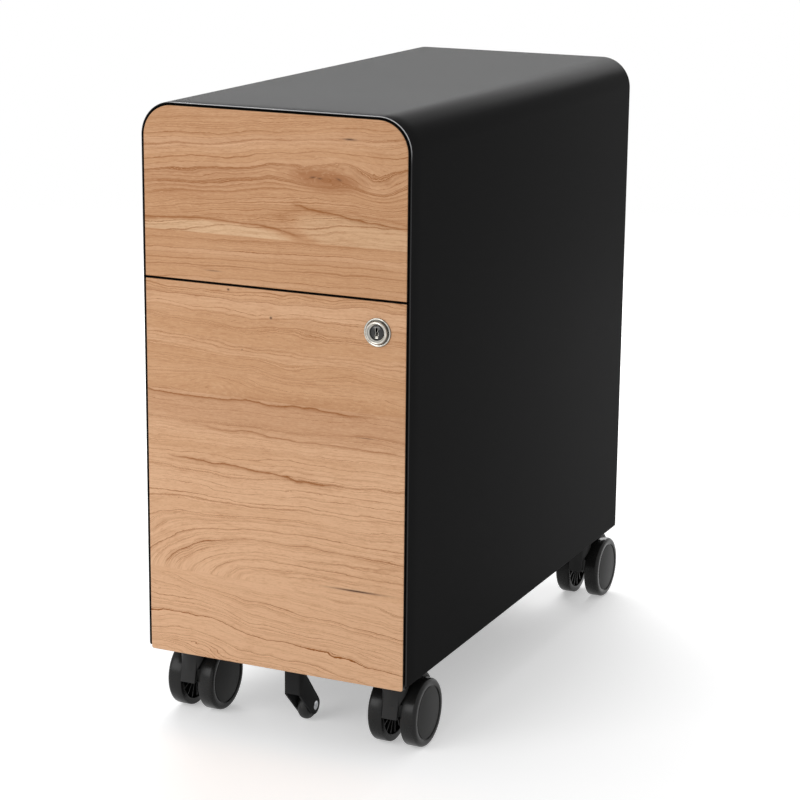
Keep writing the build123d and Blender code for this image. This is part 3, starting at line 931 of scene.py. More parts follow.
class Wood(Finish):
    """Oiled wood glued from staves, its grain running across the front."""

    def __init__(self, name, board):
        super().__init__(name)
        self.board = board
        self.x, _, self.z = self.axes()
        self.stave = self.stepped(range(len(board.staves)))
        self.height = self.grain_height()
        self.ripple = self.streaks(RIPPLE) * (6 * MM) + self.streaks(TREMOR) * (2.4 * MM)

    def stepped(self, values):
        """One value for each stave, changing at the joints."""
        result, *others = values
        before = result
        for stave, after in zip(self.board.staves[1:], others):
            result = self.above(stave.foot) * (after - before) + result
            before = after
        return result

    def above(self, height):
        """1 above a height on the board, else 0."""
        return self.math("GREATER_THAN", self.z, height)

    def span(self, first, second):
        """Length of the long side of a right angle."""
        return self.math("SQRT", first * first + second * second)

    def streaks(self, streak):
        """Noise drawn out along the grain, about 0."""
        lane = self.stave * 1.7 + self.board.seed
        seat = self.add("ShaderNodeCombineXYZ", [self.x, lane, self.height])
        drawn = self.mapped(seat.outputs[0], (streak.along, 1.0, streak.across))
        return self.noise(drawn, 1.0, streak.detail, streak.roughness) - 0.5

    def run_and_rise(self, spot):
        """Distance along a spot from its centre, and height above its tilted axis."""
        run = self.x - spot.x
        return run, run * -spot.tilt + (self.z - spot.z)

    def oval(self, spot):
        """Distance from a spot's centre, 1 on its edge."""
        run, rise = self.run_and_rise(spot)
        return self.span(run / spot.long, rise / spot.high)

    def mound(self, spot):
        """Smooth mound over a spot, as high as its share."""
        distance = self.oval(spot)
        return self.fall(distance * distance) * spot.share

    def grain_height(self):
        """Height along which the grain's lines run: arched, swollen and drawn round a knot."""
        height = self.z
        fan = self.board.fan
        if fan:
            run = self.math("MAXIMUM", fan.x - self.x, 0.0) * fan.flat
            arch = self.span(run, self.z - fan.foot) + fan.foot
            fade = self.ranged(self.z, fan.top - fan.fade, fan.top, 1.0, 0.0)
            height = (arch - self.z) * (self.above(fan.foot) * fade) + self.z
        for swell in self.board.swells:
            height = height - self.mound(swell)
        knot = self.board.knot
        if knot:
            eye = self.oval(knot) * (0.8 * knot.high) + knot.z
            height = self.mound(knot) * (eye - height) + height
        return height

    def seam(self, spot):
        """Dark line that ripples with the grain, sharp above and soft below."""
        run, rise = self.run_and_rise(spot)
        sway = self.streaks(SEAM_SWAY) * (11 * MM)
        rise = (rise + self.ripple * 1.3 + sway) / spot.high
        upper = self.fall(self.math("MAXIMUM", rise, 0.0) * 2.5)
        lower = self.math("EXPONENT", self.math("MINIMUM", rise, 0.0))
        ends = self.ranged(abs(run / spot.long), 0.65, 1.0, spot.share, 0.0)
        return ends * (upper * lower)

    def stave_of(self, spot):
        """1 on the stave that a spot lies on and above it, else 0."""
        feet = [stave.foot for stave in self.board.staves]
        reach = max(spot.z, feet[0]) + spot.high / 2
        return self.above(max(foot for foot in feet if foot <= reach))

    def rings(self):
        """Darkness of the growth lines, sharp on one side, and a random tone for each ring."""
        staves = self.board.staves
        pitch = self.stepped([stave.pitch * MM for stave in staves])
        slope = self.stepped([-stave.slope for stave in staves])
        wave = self.stepped([stave.wave * MM for stave in staves])
        waves = self.streaks(LONG_WAVE) + self.streaks(SHORT_WAVE) * 0.7
        level = self.height + slope * self.x + wave * waves + self.ripple
        knot = self.board.knot
        if knot:
            level = self.mound(knot) * ((self.height - knot.z) * 1.6) + level
        place = {"W": level * 70.0 + self.stave * 5.3}
        drift = self.add("ShaderNodeTexNoise", place, noise_dimensions="1D")
        drift = Signal(self, drift.outputs["Fac"])
        ring = drift * 2.2 + level / pitch
        place = {"W": self.stave * 37.0 + self.math("FLOOR", ring)}
        chance = self.add("ShaderNodeTexWhiteNoise", place, noise_dimensions="1D")
        chance = Signal(self, chance.outputs["Value"])
        gap = (1.0 - self.math("FRACT", ring)) * pitch
        dark = self.fall(gap / LINE_CORE) + self.fall(gap / LINE_SHADE) * 0.25
        weight = (chance * 0.55 + 0.7) * self.stepped([stave.line for stave in staves])
        fan = self.board.fan
        if fan:
            weight = weight * self.ranged(abs(self.z - fan.foot), 0.0, 14 * MM, 0.15, 1.0)
        vary = self.ranged(self.streaks(LINE_STRENGTH), -0.16, 0.1, 0.6, 1.1)
        line = dark * weight * vary
        between = self.math("FRACT", drift * 4.0 + level / HAIR_PITCH)
        strength = self.ranged(self.streaks(HAIR_STRENGTH), -0.1, 0.15, 0.0, self.board.hair)
        hair = self.fall((1.0 - between) * 5.0) * strength
        return self.math("MINIMUM", self.math("MAXIMUM", line, hair), 1.0), chance


def wood(name, tones, board):
    """Wood of one front, with its rings, fibres, sapwood, knot and flecks."""
    grain = Wood(name, board)
    line, chance = grain.rings()
    tone = grain.stepped([stave.tone for stave in board.staves])
    band = chance * 0.35 + (grain.streaks(TONE_BANDS) + tone)
    base = grain.mix(grain.ranged(band, -0.15, 0.5), tones.wood_mid, tones.wood_pale)
    wander = grain.streaks(PATCH_EDGES) * 0.5
    for spot in board.red:
        patch = grain.ranged(grain.oval(spot) + wander, 0.4, 1.15, spot.share, 0.0)
        base = grain.mix(patch, base, tones.wood_red)
    for spot in board.sap:
        edge = grain.oval(spot) + wander
        patch = grain.ranged(edge, 0.75, 1.0, spot.share, 0.0) * grain.stave_of(spot)
        base = grain.mix(patch, base, tones.wood_sap)
        rim = grain.fall(abs(edge - 1.04) * spot.high / SAP_RIM)
        upper = grain.ranged(grain.z, spot.z, spot.z + 0.8 * spot.high, 0.0, spot.share**2)
        base = grain.mix(rim * upper, base, tones.wood_line)
    fibre = grain.streaks(FIBRES)
    thread = grain.streaks(THREADS)
    dash = grain.streaks(DASHES)
    base = grain.mix(grain.ranged(thread, 0.0, 0.2, 0.0, 0.25), base, tones.wood_red)
    base = grain.mix(grain.ranged(fibre, -0.05, 0.25, 0.0, 0.32), base, tones.wood_red)
    base = grain.mix(grain.ranged(dash, 0.02, 0.22, 0.0, 0.22), base, tones.wood_red)
    base = grain.mix(grain.ranged(dash, -0.22, -0.02, 0.28, 0.0), base, tones.wood_sap)
    base = grain.mix(line, base, tones.wood_line)
    pores = grain.ranged(grain.streaks(PORES), 0.16, 0.26, 0.0, 0.3)
    base = grain.mix(pores, base, tones.wood_line)
    for spot in board.seams:
        base = grain.mix(grain.seam(spot), base, tones.wood_line)
    for spot in board.flecks:
        base = grain.mix(grain.mound(spot), base, tones.wood_fleck)
    grain.set(base_color=base, specular_ior_level=0.16)
    grain.set(roughness=grain.ranged(fibre, -0.2, 0.2, 0.44, 0.56))
    grain.bump(fibre, strength=0.08, distance=0.1 * MM)
    return grain.material


# Lock


def housing_shape(size):
    """Flange, groove and raised ring round the plug, as one turned shell."""
    low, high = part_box("lock_housing")
    face = -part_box("file_front")[0].y
    crest, end = -low.y, -high.y
    rim = face + size.rim
    profile = (
        (end, size.bore),
        (end, size.body),
        (face, size.body),
        (face, size.flange),
        (rim - 0.5 * MM, size.flange),
        (rim - 0.1 * MM, size.flange - 0.3 * MM),
        (rim, size.flange - 0.7 * MM),
        (rim - 0.1 * MM, size.ring + 1.1 * MM),
        (rim - 0.6 * MM, size.ring + 0.5 * MM),
        (rim - 0.6 * MM, size.ring),
        (crest - 1.3 * MM, size.ring - 0.05 * MM),
        (crest - 0.5 * MM, size.ring - 0.4 * MM),
        (crest - 0.1 * MM, size.crest + 0.4 * MM),
        (crest, size.crest),
        (crest - 0.15 * MM, size.crest - 0.4 * MM),
        (crest - size.recess + 0.3 * MM, size.bore + 0.35 * MM),
        (crest - size.recess, size.bore),
    )
    return placed(turned(profile, steps=96, closed=True), lock_turn(-90))


def plug_shape(size):
    """Turning plug with its keyway, and the tail that carries the cam."""
    low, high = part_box("lock_plug")
    face, end = -low.y, -high.y
    cam = -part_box("lock_cam")[0].y
    radius = half_of("lock_plug").x
    profile = (
        (face, 0),
        (face, radius - 0.5 * MM),
        (face - 0.4 * MM, radius),
        (cam, radius),
        (cam, size.tail),
        (end, size.tail),
        (end, 0),
    )
    half, top = size.keyway / 2, size.keyway_height / 2
    ward = half / 2
    outline = (
        (-half, -top),
        (half, -top),
        (half, -0.55 * top),
        (half + ward, -0.4 * top),
        (half + ward, -0.1 * top),
        (half - ward, 0.1 * top),
        (half - ward, 0.4 * top),
        (half, 0.55 * top),
        (half, top),
        (-half, top),
        (-half, 0.3 * top),
        (-half + ward, 0.15 * top),
        (-half + ward, -0.25 * top),
        (-half, -0.4 * top),
    )
    keyway = prism(outline, face - size.keyway_depth, face + size.rim)
    bm = combined(turned(profile, steps=96), [keyway], "DIFFERENCE")
    on_face = set(edges_at(bm, 0, face))
    lips = []
    for edge in sharp_edges(bm, degrees=60):
        if edge in on_face and all(v.co.yz.length < radius - MM for v in edge.verts):
            lips.append(edge)
    for bright in ease(bm, lips, size.keyway_lip, segments=2):
        bright.material_index = 1
    return placed(bm, lock_turn(-90))


def wafer_shape(size):
    """Edges of the lock's wafers, seen inside the keyway."""
    face = -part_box("lock_plug")[0].y
    top = size.keyway_height / 2
    wafers = []
    for place, reach in enumerate((-0.7, -0.45, -0.6)):
        depth = face - 0.5 * MM - place * size.wafer_step
        low = (depth - size.wafer, -size.keyway, -top - 0.2 * MM)
        wafer = block(low, (depth, size.keyway, reach * top))
        ease(wafer, wafer.edges[:], 0.12 * MM, segments=2)
        wafers.append(wafer)
    return placed(gathered(wafers), lock_turn(-90))


def lock_nickel(tones, size):
    """Bright nickel with painted shade and painted dark reflection in the lock's grooves and at the
    flange's edge.
    """
    nickel = Finish("nickel")
    middle = centre_of("lock_housing")
    flat = nickel.mapped(nickel.place, (1, 0, 1), (-middle.x, 0, -middle.z))
    radius = nickel.reach(flat)
    painted_groove_shade = 0.0
    # rings of painted shade and painted dark reflection at the grooves and the flange's edge
    for groove, width, strength in (
        (size.ring + 0.35 * MM, 0.55 * MM, 0.9),
        (size.crest - 0.9 * MM, 0.5 * MM, 0.5),
        (size.bore + 0.15 * MM, 0.35 * MM, 0.9),
        (size.flange, 0.35 * MM, 0.6),
    ):
        away = (radius - groove) / width
        painted_groove_shade = nickel.fall(away * away) * strength + painted_groove_shade
    cloud = nickel.noise(nickel.place, scale=320, detail=3)
    dull = toned(tones.nickel, 0.72)
    worn = nickel.mix(nickel.ranged(cloud, 0.35, 0.65), dull, tones.nickel)
    nickel.set(metallic=1.0, base_color=nickel.mix(painted_groove_shade, worn, tones.plug))
    nickel.set(roughness=nickel.ranged(cloud, 0.3, 0.7, 0.12, 0.22))
    nickel.bump(cloud, strength=0.06, distance=0.1 * MM)
    return nickel.material


class CABINET_OT_lock(bpy.types.Operator):
    """Nickel cam lock: flanged housing, plug and wafers"""

    bl_idname = "cabinet.lock"
    bl_label = "Lock"

    def execute(self, context):
        size = context.scene.cabinet_lock
        tones = context.scene.cabinet_finishes
        nickel = lock_nickel(tones, size)
        dark = brushed("dark_plug", tones.plug, roughness=0.22, along="Y")
        bright = brushed("wafer_nickel", tones.nickel, roughness=0.2, along="Y")
        bm = housing_shape(size)
        nodes = ["lock_housing"]
        finish_piece(bm, "lock_flange", [nickel], "file_drawer", nodes, sharp=40)
        bm = plug_shape(size)
        nodes = ["lock_plug"]
        finish_piece(bm, "lock_core", [dark, bright], "lock", nodes, sharp=40)
        finish_piece(wafer_shape(size), "lock_wafers", [bright], "lock")
        return {"FINISHED"}


# Casters


def wheel_shape(size, radius, width):
    """Right-hand wheel about X, its inner side at x 0: tread, grooved face, ribbed hollow."""
    floor = width - size.wall
    disc = size.disc
    land = disc + size.groove
    profile = (
        (width - 0.05 * MM, 0),
        (width - 0.3 * MM, disc - 0.7 * MM),
        (width - 0.6 * MM, disc),
        (width - size.groove_depth, disc + 0.1 * MM),
        (width - size.groove_depth, land),
        (width - 0.35 * MM, land + 0.15 * MM),
        (width, land + 0.7 * MM),
        (width, radius),
        (0.9 * MM, radius),
        (0.25 * MM, radius - 0.3 * MM),
        (0, radius - 1.0 * MM),
        (0, size.hollow + 0.4 * MM),
        (0.4 * MM, size.hollow),
        (floor, size.hollow - 0.6 * MM),
        (floor, size.hub + 0.4 * MM),
        (0.4 * MM, size.hub),
        (0, size.hub - 0.4 * MM),
        (0, size.axle + FIT),
        (size.axle_depth, size.axle + FIT),
        (size.axle_depth, 0),
    )
    bm = turned(profile, size.steps)
    rim = []
    for edge in edges_at(bm, 0, width):
        if all(abs(vert.co.yz.length - radius) < NEAR for vert in edge.verts):
            rim.append(edge)
    ease(bm, rim, size.shoulder, segments=7)
    floors = []
    for face in bm.faces:
        centre = face.calc_center_median()
        if abs(centre.x - floor) < NEAR and size.hub < centre.yz.length < size.hollow:
            floors.append((math.atan2(centre.z, centre.y), face))
    floors = [face for _, face in sorted(floors, key=lambda pair: pair[0])]
    ribs = floors[:: size.steps // size.ribs]
    bmesh.ops.inset_individual(bm, faces=ribs, thickness=0.25 * MM)
    raised = bmesh.ops.extrude_discrete_faces(bm, faces=ribs)["faces"]
    tips = {vert for face in raised for vert in face.verts}
    bmesh.ops.translate(bm, verts=list(tips), vec=(size.rib_gap - floor, 0, 0))
    for face in bm.faces:
        centre = face.calc_center_median()
        face.material_index = int(centre.x > width - MM and centre.yz.length < disc)
    return bm


def hood_wall(size, front, top):
    """Leaning front wall of a hood."""
    half = size.width / 2 - size.wall_inset
    outline = (
        (front, size.wall_foot),
        (front + size.wall, size.wall_foot),
        (front + size.wall + size.lean, top),
        (front + size.lean, top),
    )
    wall = prism(outline, -half, half)
    ease(wall, wall.edges[:], 0.7 * MM, segments=3)
    return wall


def hood_arm(size, top):
    """Arm of a hood, from the swivel boss to the axle."""
    arm = bmesh.new()
    for x in (-size.width / 2, size.width / 2):
        for y, z in ((0, 0), (-size.trail, top - size.arm_drop)):
            place = Matrix.Translation((x, y, z)) @ rotation(90, "Y")
            bmesh.ops.create_circle(
                arm, cap_ends=False, segments=48, radius=size.arm, matrix=place
            )
    hull = bmesh.ops.convex_hull(arm, input=arm.verts[:])
    bmesh.ops.delete(arm, geom=verts_of(hull["geom_interior"]), context="VERTS")
    bmesh.ops.dissolve_limit(arm, angle_limit=0.01, verts=arm.verts[:], edges=arm.edges[:])
    outward(arm)
    return arm


def hood_fender(size, wing):
    """Fender of a hood, curved over the two wheels."""
    fender = bmesh.new()
    outer = size.fender + size.fender_wall
    corners = ((-wing, size.fender), (wing, size.fender), (wing, outer), (-wing, outer))
    edges = chain(fender, [(x, radius, 0) for x, radius in corners], closed=True)
    face = bmesh.ops.contextual_create(fender, geom=edges)["faces"]
    placed(fender, Matrix.Rotation(size.fender_start, 4, "X"))
    bmesh.ops.spin(
        fender,
        geom=face,
        cent=(0, 0, 0),
        axis=(1, 0, 0),
        angle=size.fender_sweep,
        steps=22,
        use_duplicate=False,
    )
    outward(fender)
    ease(fender, sharp_edges(fender, degrees=60), 0.9 * MM, segments=3)
    return fender


def hood_shape(size, axle):
    """Moulded hood of a caster about its axle: front wall, swivel boss, arm and fender."""
    low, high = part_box("front_left_hood")
    middle = centre_of("front_left_left_wheel")
    top, front = high.z - middle.z, low.y - middle.y
    half, wing = size.width / 2, half_of("front_left_hood").x
    upright = Matrix.Translation((0, -size.trail, 0)) @ rotation(-90, "Y")
    boss = placed(rod(size.boss, top - size.boss_height, top, steps=48), upright)
    ease(boss, edges_at(boss, 2, top), 1.2 * MM, segments=3)
    solid = combined(hood_wall(size, front, top), [hood_arm(size, top), boss], "UNION")
    wheels = [rod(size.fender, half, 3 * half), rod(size.fender, -3 * half, -half)]
    trimmed = combined(solid, wheels, "DIFFERENCE")
    past = 2 * MM
    bores = [
        rod(axle + FIT, -2 * half, 2 * half, steps=32),
        placed(rod(size.stem, top - size.stem_depth, top + past, steps=32), upright),
    ]
    whole = combined(trimmed, [hood_fender(size, wing)], "UNION")
    return combined(whole, bores, "DIFFERENCE")


class CABINET_OT_casters(bpy.types.Operator):
    """Twin-wheel casters"""

    bl_idname = "cabinet.casters"
    bl_label = "Casters"

    def execute(self, context):
        wheels = context.scene.cabinet_wheels
        tones = context.scene.cabinet_finishes
        moulding = plastic("caster_plastic", tones.hood, roughness=0.5, level=0.3)
        tread = plastic("wheel_plastic", tones.wheel, roughness=0.26, level=0.2)
        cover = plastic("wheel_cover", toned(tones.wheel, 1.8), roughness=0.55, level=0.16)
        first = hood_shape(context.scene.cabinet_hoods, wheels.axle)
        for corner in CORNERS:
            for side in SIDES:
                node = "_".join((corner, side, "wheel"))
                self.wheel(wheels, node, side, [tread, cover])
            hood = corner + "_hood"
            middle = centre_of(node)
            middle.x = centre_of(hood).x
            bm = placed(first.copy(), Matrix.Translation(middle))
            name, body = corner + "_moulding", corner + "_caster"
            finish_piece(bm, name, [moulding], body, [hood])
        first.free()
        return {"FINISHED"}

    @staticmethod
    def wheel(size, node, side, finishes):
        """One wheel, its hollow towards the hood."""
        low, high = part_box(node)
        place = (low + high) / 2
        mirror = Matrix.Identity(4)
        place.x = low.x
        if side == "left":
            mirror = Matrix.Scale(-1, 4, (1, 0, 0))
            place.x = high.x
        bm = wheel_shape(size, (high.z - low.z) / 2, high.x - low.x)
        placed(bm, Matrix.Translation(place) @ mirror)
        finish_piece(bm, node + "_moulding", finishes, node, [node], sharp=40)


# Anti-tip wheel


def cheek_outline(bm, size, low, high):
    """Side of the bracket: down the front, in to the roller, round its axle and back up."""
    middle = centre_of("anti_tip_wheel").yz
    knee = Vector((low.y, size.knee))
    heel = Vector((low.y + size.heel_depth, size.heel))

    def tangent(point, side):
        run = point - middle
        turn = math.atan2(run.y, run.x) + side * math.acos(size.end / run.length)
        return Vector((math.cos(turn), math.sin(turn))) * size.end

    start, stop = tangent(knee, 1), tangent(heel, -1)
    sweep = (math.atan2(stop.y, stop.x) - math.atan2(start.y, start.x)) % math.tau
    front = chain(bm, [(high.x, y, z) for y, z in ((low.y, high.z), knee, middle + start)])
    arc = bmesh.ops.spin(
        bm,
        geom=[front[-1].verts[1]],
        cent=(high.x, *middle),
        axis=(1, 0, 0),
        angle=sweep,
        steps=16,
        use_duplicate=False,
    )["geom_last"]
    back = chain(bm, [(high.x, y, z) for y, z in (heel, (heel.x, high.z))])
    bm.edges.new((arc[0], back[0].verts[0]))
    bm.edges.new((back[-1].verts[1], front[0].verts[0]))


def bracket_shape(size):
    """Folded bracket: front plate, two cheeks that sweep back to the roller, and a foot."""
    low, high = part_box("anti_tip_bracket")
    heel = low.y + size.heel_depth
    bm = bmesh.new()
    cheek_outline(bm, size, low, high)
    cheek = bmesh.ops.contextual_create(bm, geom=bm.edges[:])["faces"]
    twin = bmesh.ops.duplicate(bm, geom=cheek)["geom"]
    bmesh.ops.translate(bm, verts=verts_of(twin), vec=(low.x - high.x, 0, 0))

    def corner(x, y, z):
        return min(bm.verts, key=lambda vert: (vert.co - Vector((x, y, z))).length)

    def plate(*places):
        verts = [corner(x, y, z) for y, z in places for x in (high.x, low.x)]
        bmesh.ops.contextual_create(bm, geom=verts)

    plate((low.y, high.z), (low.y, size.knee))
    plate((low.y, high.z), (heel, high.z))
    foot = bm.edges.get((corner(high.x, heel, high.z), corner(low.x, heel, high.z)))
    pull(bm, [foot], (0, low.y + size.foot - heel, 0))
    outward(bm)
    top = max(bm.faces, key=lambda face: face.calc_center_median().z)
    if top.normal.z < 0:
        bmesh.ops.reverse_faces(bm, faces=bm.faces[:])
    ease(bm, sharp_edges(bm, degrees=60), size.fold, segments=4)
    bmesh.ops.solidify(bm, geom=bm.faces[:], thickness=size.sheet)
    ease(bm, sharp_edges(bm, degrees=70), size.cut_ease, segments=2)
    return bm


def roller_shape(size):
    """Anti-tip roller with rounded edges."""
    half, _, radius = half_of("anti_tip_wheel")
    side = half - 0.5 * MM
    right = (
        (half - 1.0 * MM, radius),
        (side, radius - size.tread),
        (side, size.hub),
        (half, size.hub - 0.5 * MM),
        (half, size.bore),
    )
    left = [(-x, reach) for x, reach in reversed(right)]
    bm = turned((*left, *right), steps=64, closed=True)
    rims = []
    for edge in bm.edges:
        outer = all(abs(vert.co.yz.length - radius) < NEAR for vert in edge.verts)
        if outer and not along(edge, 0):
            rims.append(edge)
    ease(bm, rims, size.crown, segments=8)
    return placed(bm, Matrix.Translation(centre_of("anti_tip_wheel")))


def rivet_shape(size):
    """Axle rivet with a low dome at each end."""
    half, _, head = half_of("anti_tip_axle")
    shank = half - size.head
    right = (
        (shank, size.shank),
        (shank, head - 0.2 * MM),
        (shank + 0.3 * MM, head),
        (half - 0.5 * MM, 0.75 * head),
        (half - 0.1 * MM, 0.4 * head),
        (half, 0),
    )
    left = [(-x, reach) for x, reach in reversed(right)]
    bm = turned((*left, *right), steps=48)
    return placed(bm, Matrix.Translation(centre_of("anti_tip_axle")))


class CABINET_OT_anti_tip(bpy.types.Operator):
    """Anti-tip bracket, roller and rivet under the file drawer"""

    bl_idname = "cabinet.anti_tip"
    bl_label = "Anti-tip wheel"

    def execute(self, context):
        size = context.scene.cabinet_tip
        tones = context.scene.cabinet_finishes
        coat = powder_coat("bracket_coat", toned(tones.coat, 2), roughness=0.5, level=0.02)
        rubber = plastic("roller_plastic", tones.wheel, roughness=0.5)
        bright = brushed("rivet_zinc", tones.zinc, roughness=0.25, along="Y")
        bm = bracket_shape(size)
        nodes = ["anti_tip_bracket"]
        finish_piece(bm, "tip_bracket", [coat], "file_drawer", nodes)
        bm = roller_shape(size)
        nodes = ["anti_tip_wheel"]
        finish_piece(bm, "tip_roller", [rubber], "anti_tip_roller", nodes)
        bm = rivet_shape(size)
        nodes = ["anti_tip_axle"]
        finish_piece(bm, "tip_rivet", [bright], "file_drawer", nodes)
        return {"FINISHED"}


# Screws


def screw_shape(radius):
    """Pan-head screw along +X with a cross recess, its seat at x 0."""
    rise = 0.55 * radius
    profile = (
        (0, 0),
        (0, radius),
        (0.35 * rise, radius),
        (0.75 * rise, 0.85 * radius),
        (0.97 * rise, 0.45 * radius),
        (rise, 0),
    )
    long, thin = 0.55 * radius, 0.13 * radius
    floor, past = 0.4 * rise, 2 * rise
    level = block((floor, -long, -thin), (past, long, thin))
    upright = block((floor, -thin, -long), (past, thin, long))
    recess = combined(level, [upright], "UNION")
    return combined(turned(profile, steps=28), [recess], "DIFFERENCE")


def screws(radius, places, turn):
    """Screws at places, all facing the same way, each driven home at an angle of its own."""
    first = screw_shape(radius)
    heads = []
    for number, place in enumerate(places):
        driven = Matrix.Rotation(0.7 + 1.3 * number, 4, "X")
        heads.append(placed(first.copy(), Matrix.Translation(place) @ turn @ driven))
    first.free()
    return gathered(heads)


BACK_SCREW_INSET = 12 * MM
BACK_SCREW_SHARES = (0.06, 0.5, 0.9)
FRONT_SCREW_REACH = 78 * MM
FRONT_SCREW_SHARES = (0.3, 0.78)
RAIL_SCREW_REACHES = (28, 124, 236, 420)
BRACKET_SCREW_REACHES = (18, 32)
RAIL_SHEET = 1.2 * MM
TRAY_SHEET = 1.0 * MM


class CABINET_OT_fasteners(bpy.types.Operator):
    """Screws of the back panel, the drawer boxes, the anti-tip bracket and the lock's cam"""

    bl_idname = "cabinet.fasteners"
    bl_label = "Fasteners"

    def execute(self, context):
        size = context.scene.cabinet_screws
        tones = context.scene.cabinet_finishes
        black = brushed("black_screw", toned(tones.coat, 2), roughness=0.4, along="X")
        zinc = brushed("zinc_screw", tones.zinc, roughness=0.3, along="X")
        rearward = rotation(90, "Z")
        low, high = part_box("back_panel")
        heights = [low.z + part * (high.z - low.z) for part in BACK_SCREW_SHARES]
        sides = (low.x + BACK_SCREW_INSET, high.x - BACK_SCREW_INSET)
        bm = screws(size.back, [(x, high.y, z) for x in sides for z in heights], rearward)
        finish_piece(bm, "back_screws", [black], "casing")
        for drawer in ("upper", "file"):
            self.drawer_screws(size, drawer, rearward, zinc)
        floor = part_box("file_drawer_tray")[0].z + TRAY_SHEET
        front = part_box("anti_tip_bracket")[0].y
        places = [(0, front + reach * MM, floor) for reach in BRACKET_SCREW_REACHES]
        bm = screws(size.bracket, places, rotation(-90, "Y"))
        finish_piece(bm, "bracket_screws", [zinc], "file_drawer")
        place = centre_of("lock_plug")
        place.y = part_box("lock_plug")[1].y
        bm = screws(size.cam, [place], rearward)
        finish_piece(bm, "cam_screw", [zinc], "lock")
        return {"FINISHED"}

    @staticmethod
    def drawer_screws(size, drawer, rearward, zinc):
        """Screws inside a drawer's front and along its two slides."""
        body = drawer + "_drawer"
        low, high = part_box(body + "_tray")
        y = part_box(body + "_inner_front")[0].y + TRAY_SHEET
        heights = [low.z + part * (high.z - low.z) for part in FRONT_SCREW_SHARES]
        sides = (-FRONT_SCREW_REACH, FRONT_SCREW_REACH)
        bm = screws(size.front, [(x, y, z) for x in sides for z in heights], rearward)
        finish_piece(bm, drawer + "_front_screws", [zinc], body)
        for side in SIDES:
            rail = "_".join((drawer, side))
            low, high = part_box(rail + "_inner_rail")
            x, turn = low.x + RAIL_SHEET, rotation(0, "Z")
            if side == "left":
                x, turn = high.x - RAIL_SHEET, rotation(180, "Z")
            z = (low.z + high.z) / 2
            places = [(x, low.y + reach * MM, z) for reach in RAIL_SCREW_REACHES]
            bm = screws(size.rail, places, turn)
            finish_piece(bm, rail + "_rail_screws", [zinc], body)


# Pieces that keep their packed shape


class CABINET_OT_inside(bpy.types.Operator):
    """Finishes of the inner pieces that keep their packed shape"""

    bl_idname = "cabinet.inside"
    bl_label = "Inner pieces"

    def execute(self, context):
        tones = context.scene.cabinet_finishes
        plain = toned(tones.zinc, 0.9)
        finishes = {
            "black_powder_coat": powder_coat("inner_coat", tones.coat, roughness=0.5),
            "drawer_powder_coat": powder_coat("drawer_coat", tones.coat, 0.48, level=0.2),
            "zinc_slide": brushed("slide_zinc", tones.zinc, roughness=0.3, along="Y"),
            "zinc_steel": brushed("plain_zinc", plain, roughness=0.34, along="X"),
            "latch_plastic": plastic("latch_plastic", tones.latch, roughness=0.45),
        }
        for part in frame["record"]["subparts"]:
            finish = finishes.get(part["material_slot"])
            if finish:
                for slot in frame["nodes"][part["node"]].material_slots:
                    slot.material = finish
        return {"FINISHED"}


# Stage


class Lamp(NamedTuple):
    """Soft rectangular lamp: its place and aim in metres, its size and its power in watts."""

    name: str
    place: tuple
    aim: tuple
    width: float
    height: float
    power: float


LAMPS = (
    Lamp("front_lamp", (-1.3, -3.2, 1.9), (0, -0.3, 0.35), 2.2, 2.2, 47),
    Lamp("top_lamp", (-0.9, 2.2, 1.45), (0, 0, 0.6), 2.6, 1.1, 56),
)


def floor_finish(stage, tone):
    """White floor that keeps the shadow and fades out far from the object."""
    floor = Finish("floor")
    floor.set(base_color=(*tone, 1), roughness=0.9, specular_ior_level=0.0)
    glow = {"Strength": floor.seen_directly() * stage.floor_lift}
    white = floor.add("ShaderNodeEmission", glow)
    lifted = floor.add("ShaderNodeAddShader", [floor.surface.outputs[0], white.outputs[0]])
    fade = floor.ranged(floor.reach(floor.place), stage.fade_start, stage.fade_end)
    clear = floor.add("ShaderNodeBsdfTransparent")
    faded = floor.add("ShaderNodeMixShader", [fade, lifted.outputs[0], clear.outputs[0]])
    floor.feed(floor.tree.nodes["Material Output"].inputs["Surface"], faded.outputs[0])
    return floor.material


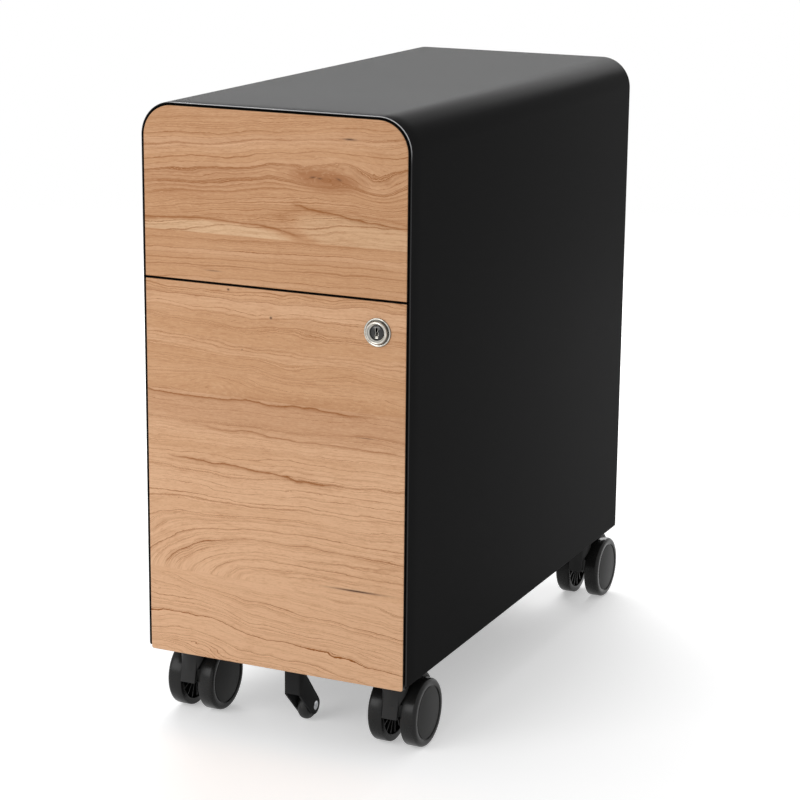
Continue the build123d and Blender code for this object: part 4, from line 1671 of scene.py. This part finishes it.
class CABINET_OT_stage(bpy.types.Operator):
    """Pale floor, soft lamps and the camera"""

    bl_idname = "cabinet.stage"
    bl_label = "Stage"

    def execute(self, context):
        scene = context.scene
        stage = scene.cabinet_stage
        bm = bmesh.new()
        bmesh.ops.create_grid(bm, x_segments=1, y_segments=1, size=stage.floor / 2)
        mesh = bpy.data.meshes.new("floor")
        bm.to_mesh(mesh)
        bm.free()
        mesh.materials.append(floor_finish(stage, scene.cabinet_finishes.floor))
        floor = bpy.data.objects.new("floor", mesh)
        scene.collection.objects.link(floor)
        scene.world = bpy.data.worlds.new("studio")
        sky = Nodes(scene.world)
        background = sky.tree.nodes["Background"].inputs
        sky.feed(background["Color"], (1, 1, 1, 1))
        strength = sky.ranged(sky.seen_directly(), 0.0, 1.0, stage.sky_light, 1.0)
        sky.feed(background["Strength"], strength)
        for lamp in LAMPS:
            self.light(scene, lamp)
        view = bpy.data.cameras.new("view")
        view.lens = stage.lens
        view.sensor_width = stage.sensor
        camera = bpy.data.objects.new("view", view)
        camera.location = stage.place
        yaw = Matrix.Rotation(stage.yaw, 4, "Z")
        pitch = Matrix.Rotation(math.radians(90) - stage.pitch, 4, "X")
        roll = Matrix.Rotation(stage.roll, 4, "Z")
        camera.rotation_euler = (yaw @ pitch @ roll).to_euler()
        scene.collection.objects.link(camera)
        scene.camera = camera
        scene.view_settings.view_transform = "Standard"
        return {"FINISHED"}

    @staticmethod
    def light(scene, lamp):
        """A lamp in its place, turned to its aim."""
        light = bpy.data.lights.new(lamp.name, "AREA")
        light.shape = "RECTANGLE"
        light.size, light.size_y = lamp.width, lamp.height
        light.energy = lamp.power
        holder = bpy.data.objects.new(lamp.name, light)
        holder.location = lamp.place
        line = Vector(lamp.aim) - Vector(lamp.place)
        holder.rotation_euler = line.to_track_quat("-Z", "Y").to_euler()
        scene.collection.objects.link(holder)


# Sidebar and steps

GROUPS = {
    "cabinet_casing": CasingSizes,
    "cabinet_fronts": FrontSizes,
    "cabinet_lock": LockSizes,
    "cabinet_wheels": WheelSizes,
    "cabinet_hoods": HoodSizes,
    "cabinet_tip": TipSizes,
    "cabinet_screws": ScrewSizes,
    "cabinet_finishes": Finishes,
    "cabinet_stage": StageSettings,
}
STEPS = (
    CABINET_OT_stage,
    CABINET_OT_casing,
    CABINET_OT_fronts,
    CABINET_OT_lock,
    CABINET_OT_casters,
    CABINET_OT_anti_tip,
    CABINET_OT_fasteners,
    CABINET_OT_inside,
)


class CABINET_PT_sidebar(bpy.types.Panel):
    """Sizes, finishes and steps of the cabinet"""

    bl_idname = "CABINET_PT_sidebar"
    bl_label = "Filing cabinet"
    bl_space_type = "VIEW_3D"
    bl_region_type = "UI"
    bl_category = "Cabinet"

    def draw(self, context):
        for name, group in GROUPS.items():
            box = self.layout.box()
            box.label(text=group.__doc__)
            for key in group.__annotations__:
                box.prop(getattr(context.scene, name), key)
        for step in STEPS:
            self.layout.operator(step.bl_idname)


CLASSES = (*GROUPS.values(), *STEPS, CABINET_PT_sidebar)


def register():
    """Add the classes and their settings."""
    for cls in CLASSES:
        bpy.utils.register_class(cls)
    for name, group in GROUPS.items():
        setattr(bpy.types.Scene, name, PointerProperty(type=group))


def unregister():
    """Take the classes and their settings away."""
    for name in GROUPS:
        delattr(bpy.types.Scene, name)
    for cls in reversed(CLASSES):
        bpy.utils.unregister_class(cls)


def main():
    """Build every piece in order."""
    register()
    bpy.ops.cabinet.stage()
    bpy.ops.cabinet.casing()
    bpy.ops.cabinet.fronts()
    bpy.ops.cabinet.lock()
    bpy.ops.cabinet.casters()
    bpy.ops.cabinet.anti_tip()
    bpy.ops.cabinet.fasteners()
    bpy.ops.cabinet.inside()


if __name__ == "__main__":
    main()
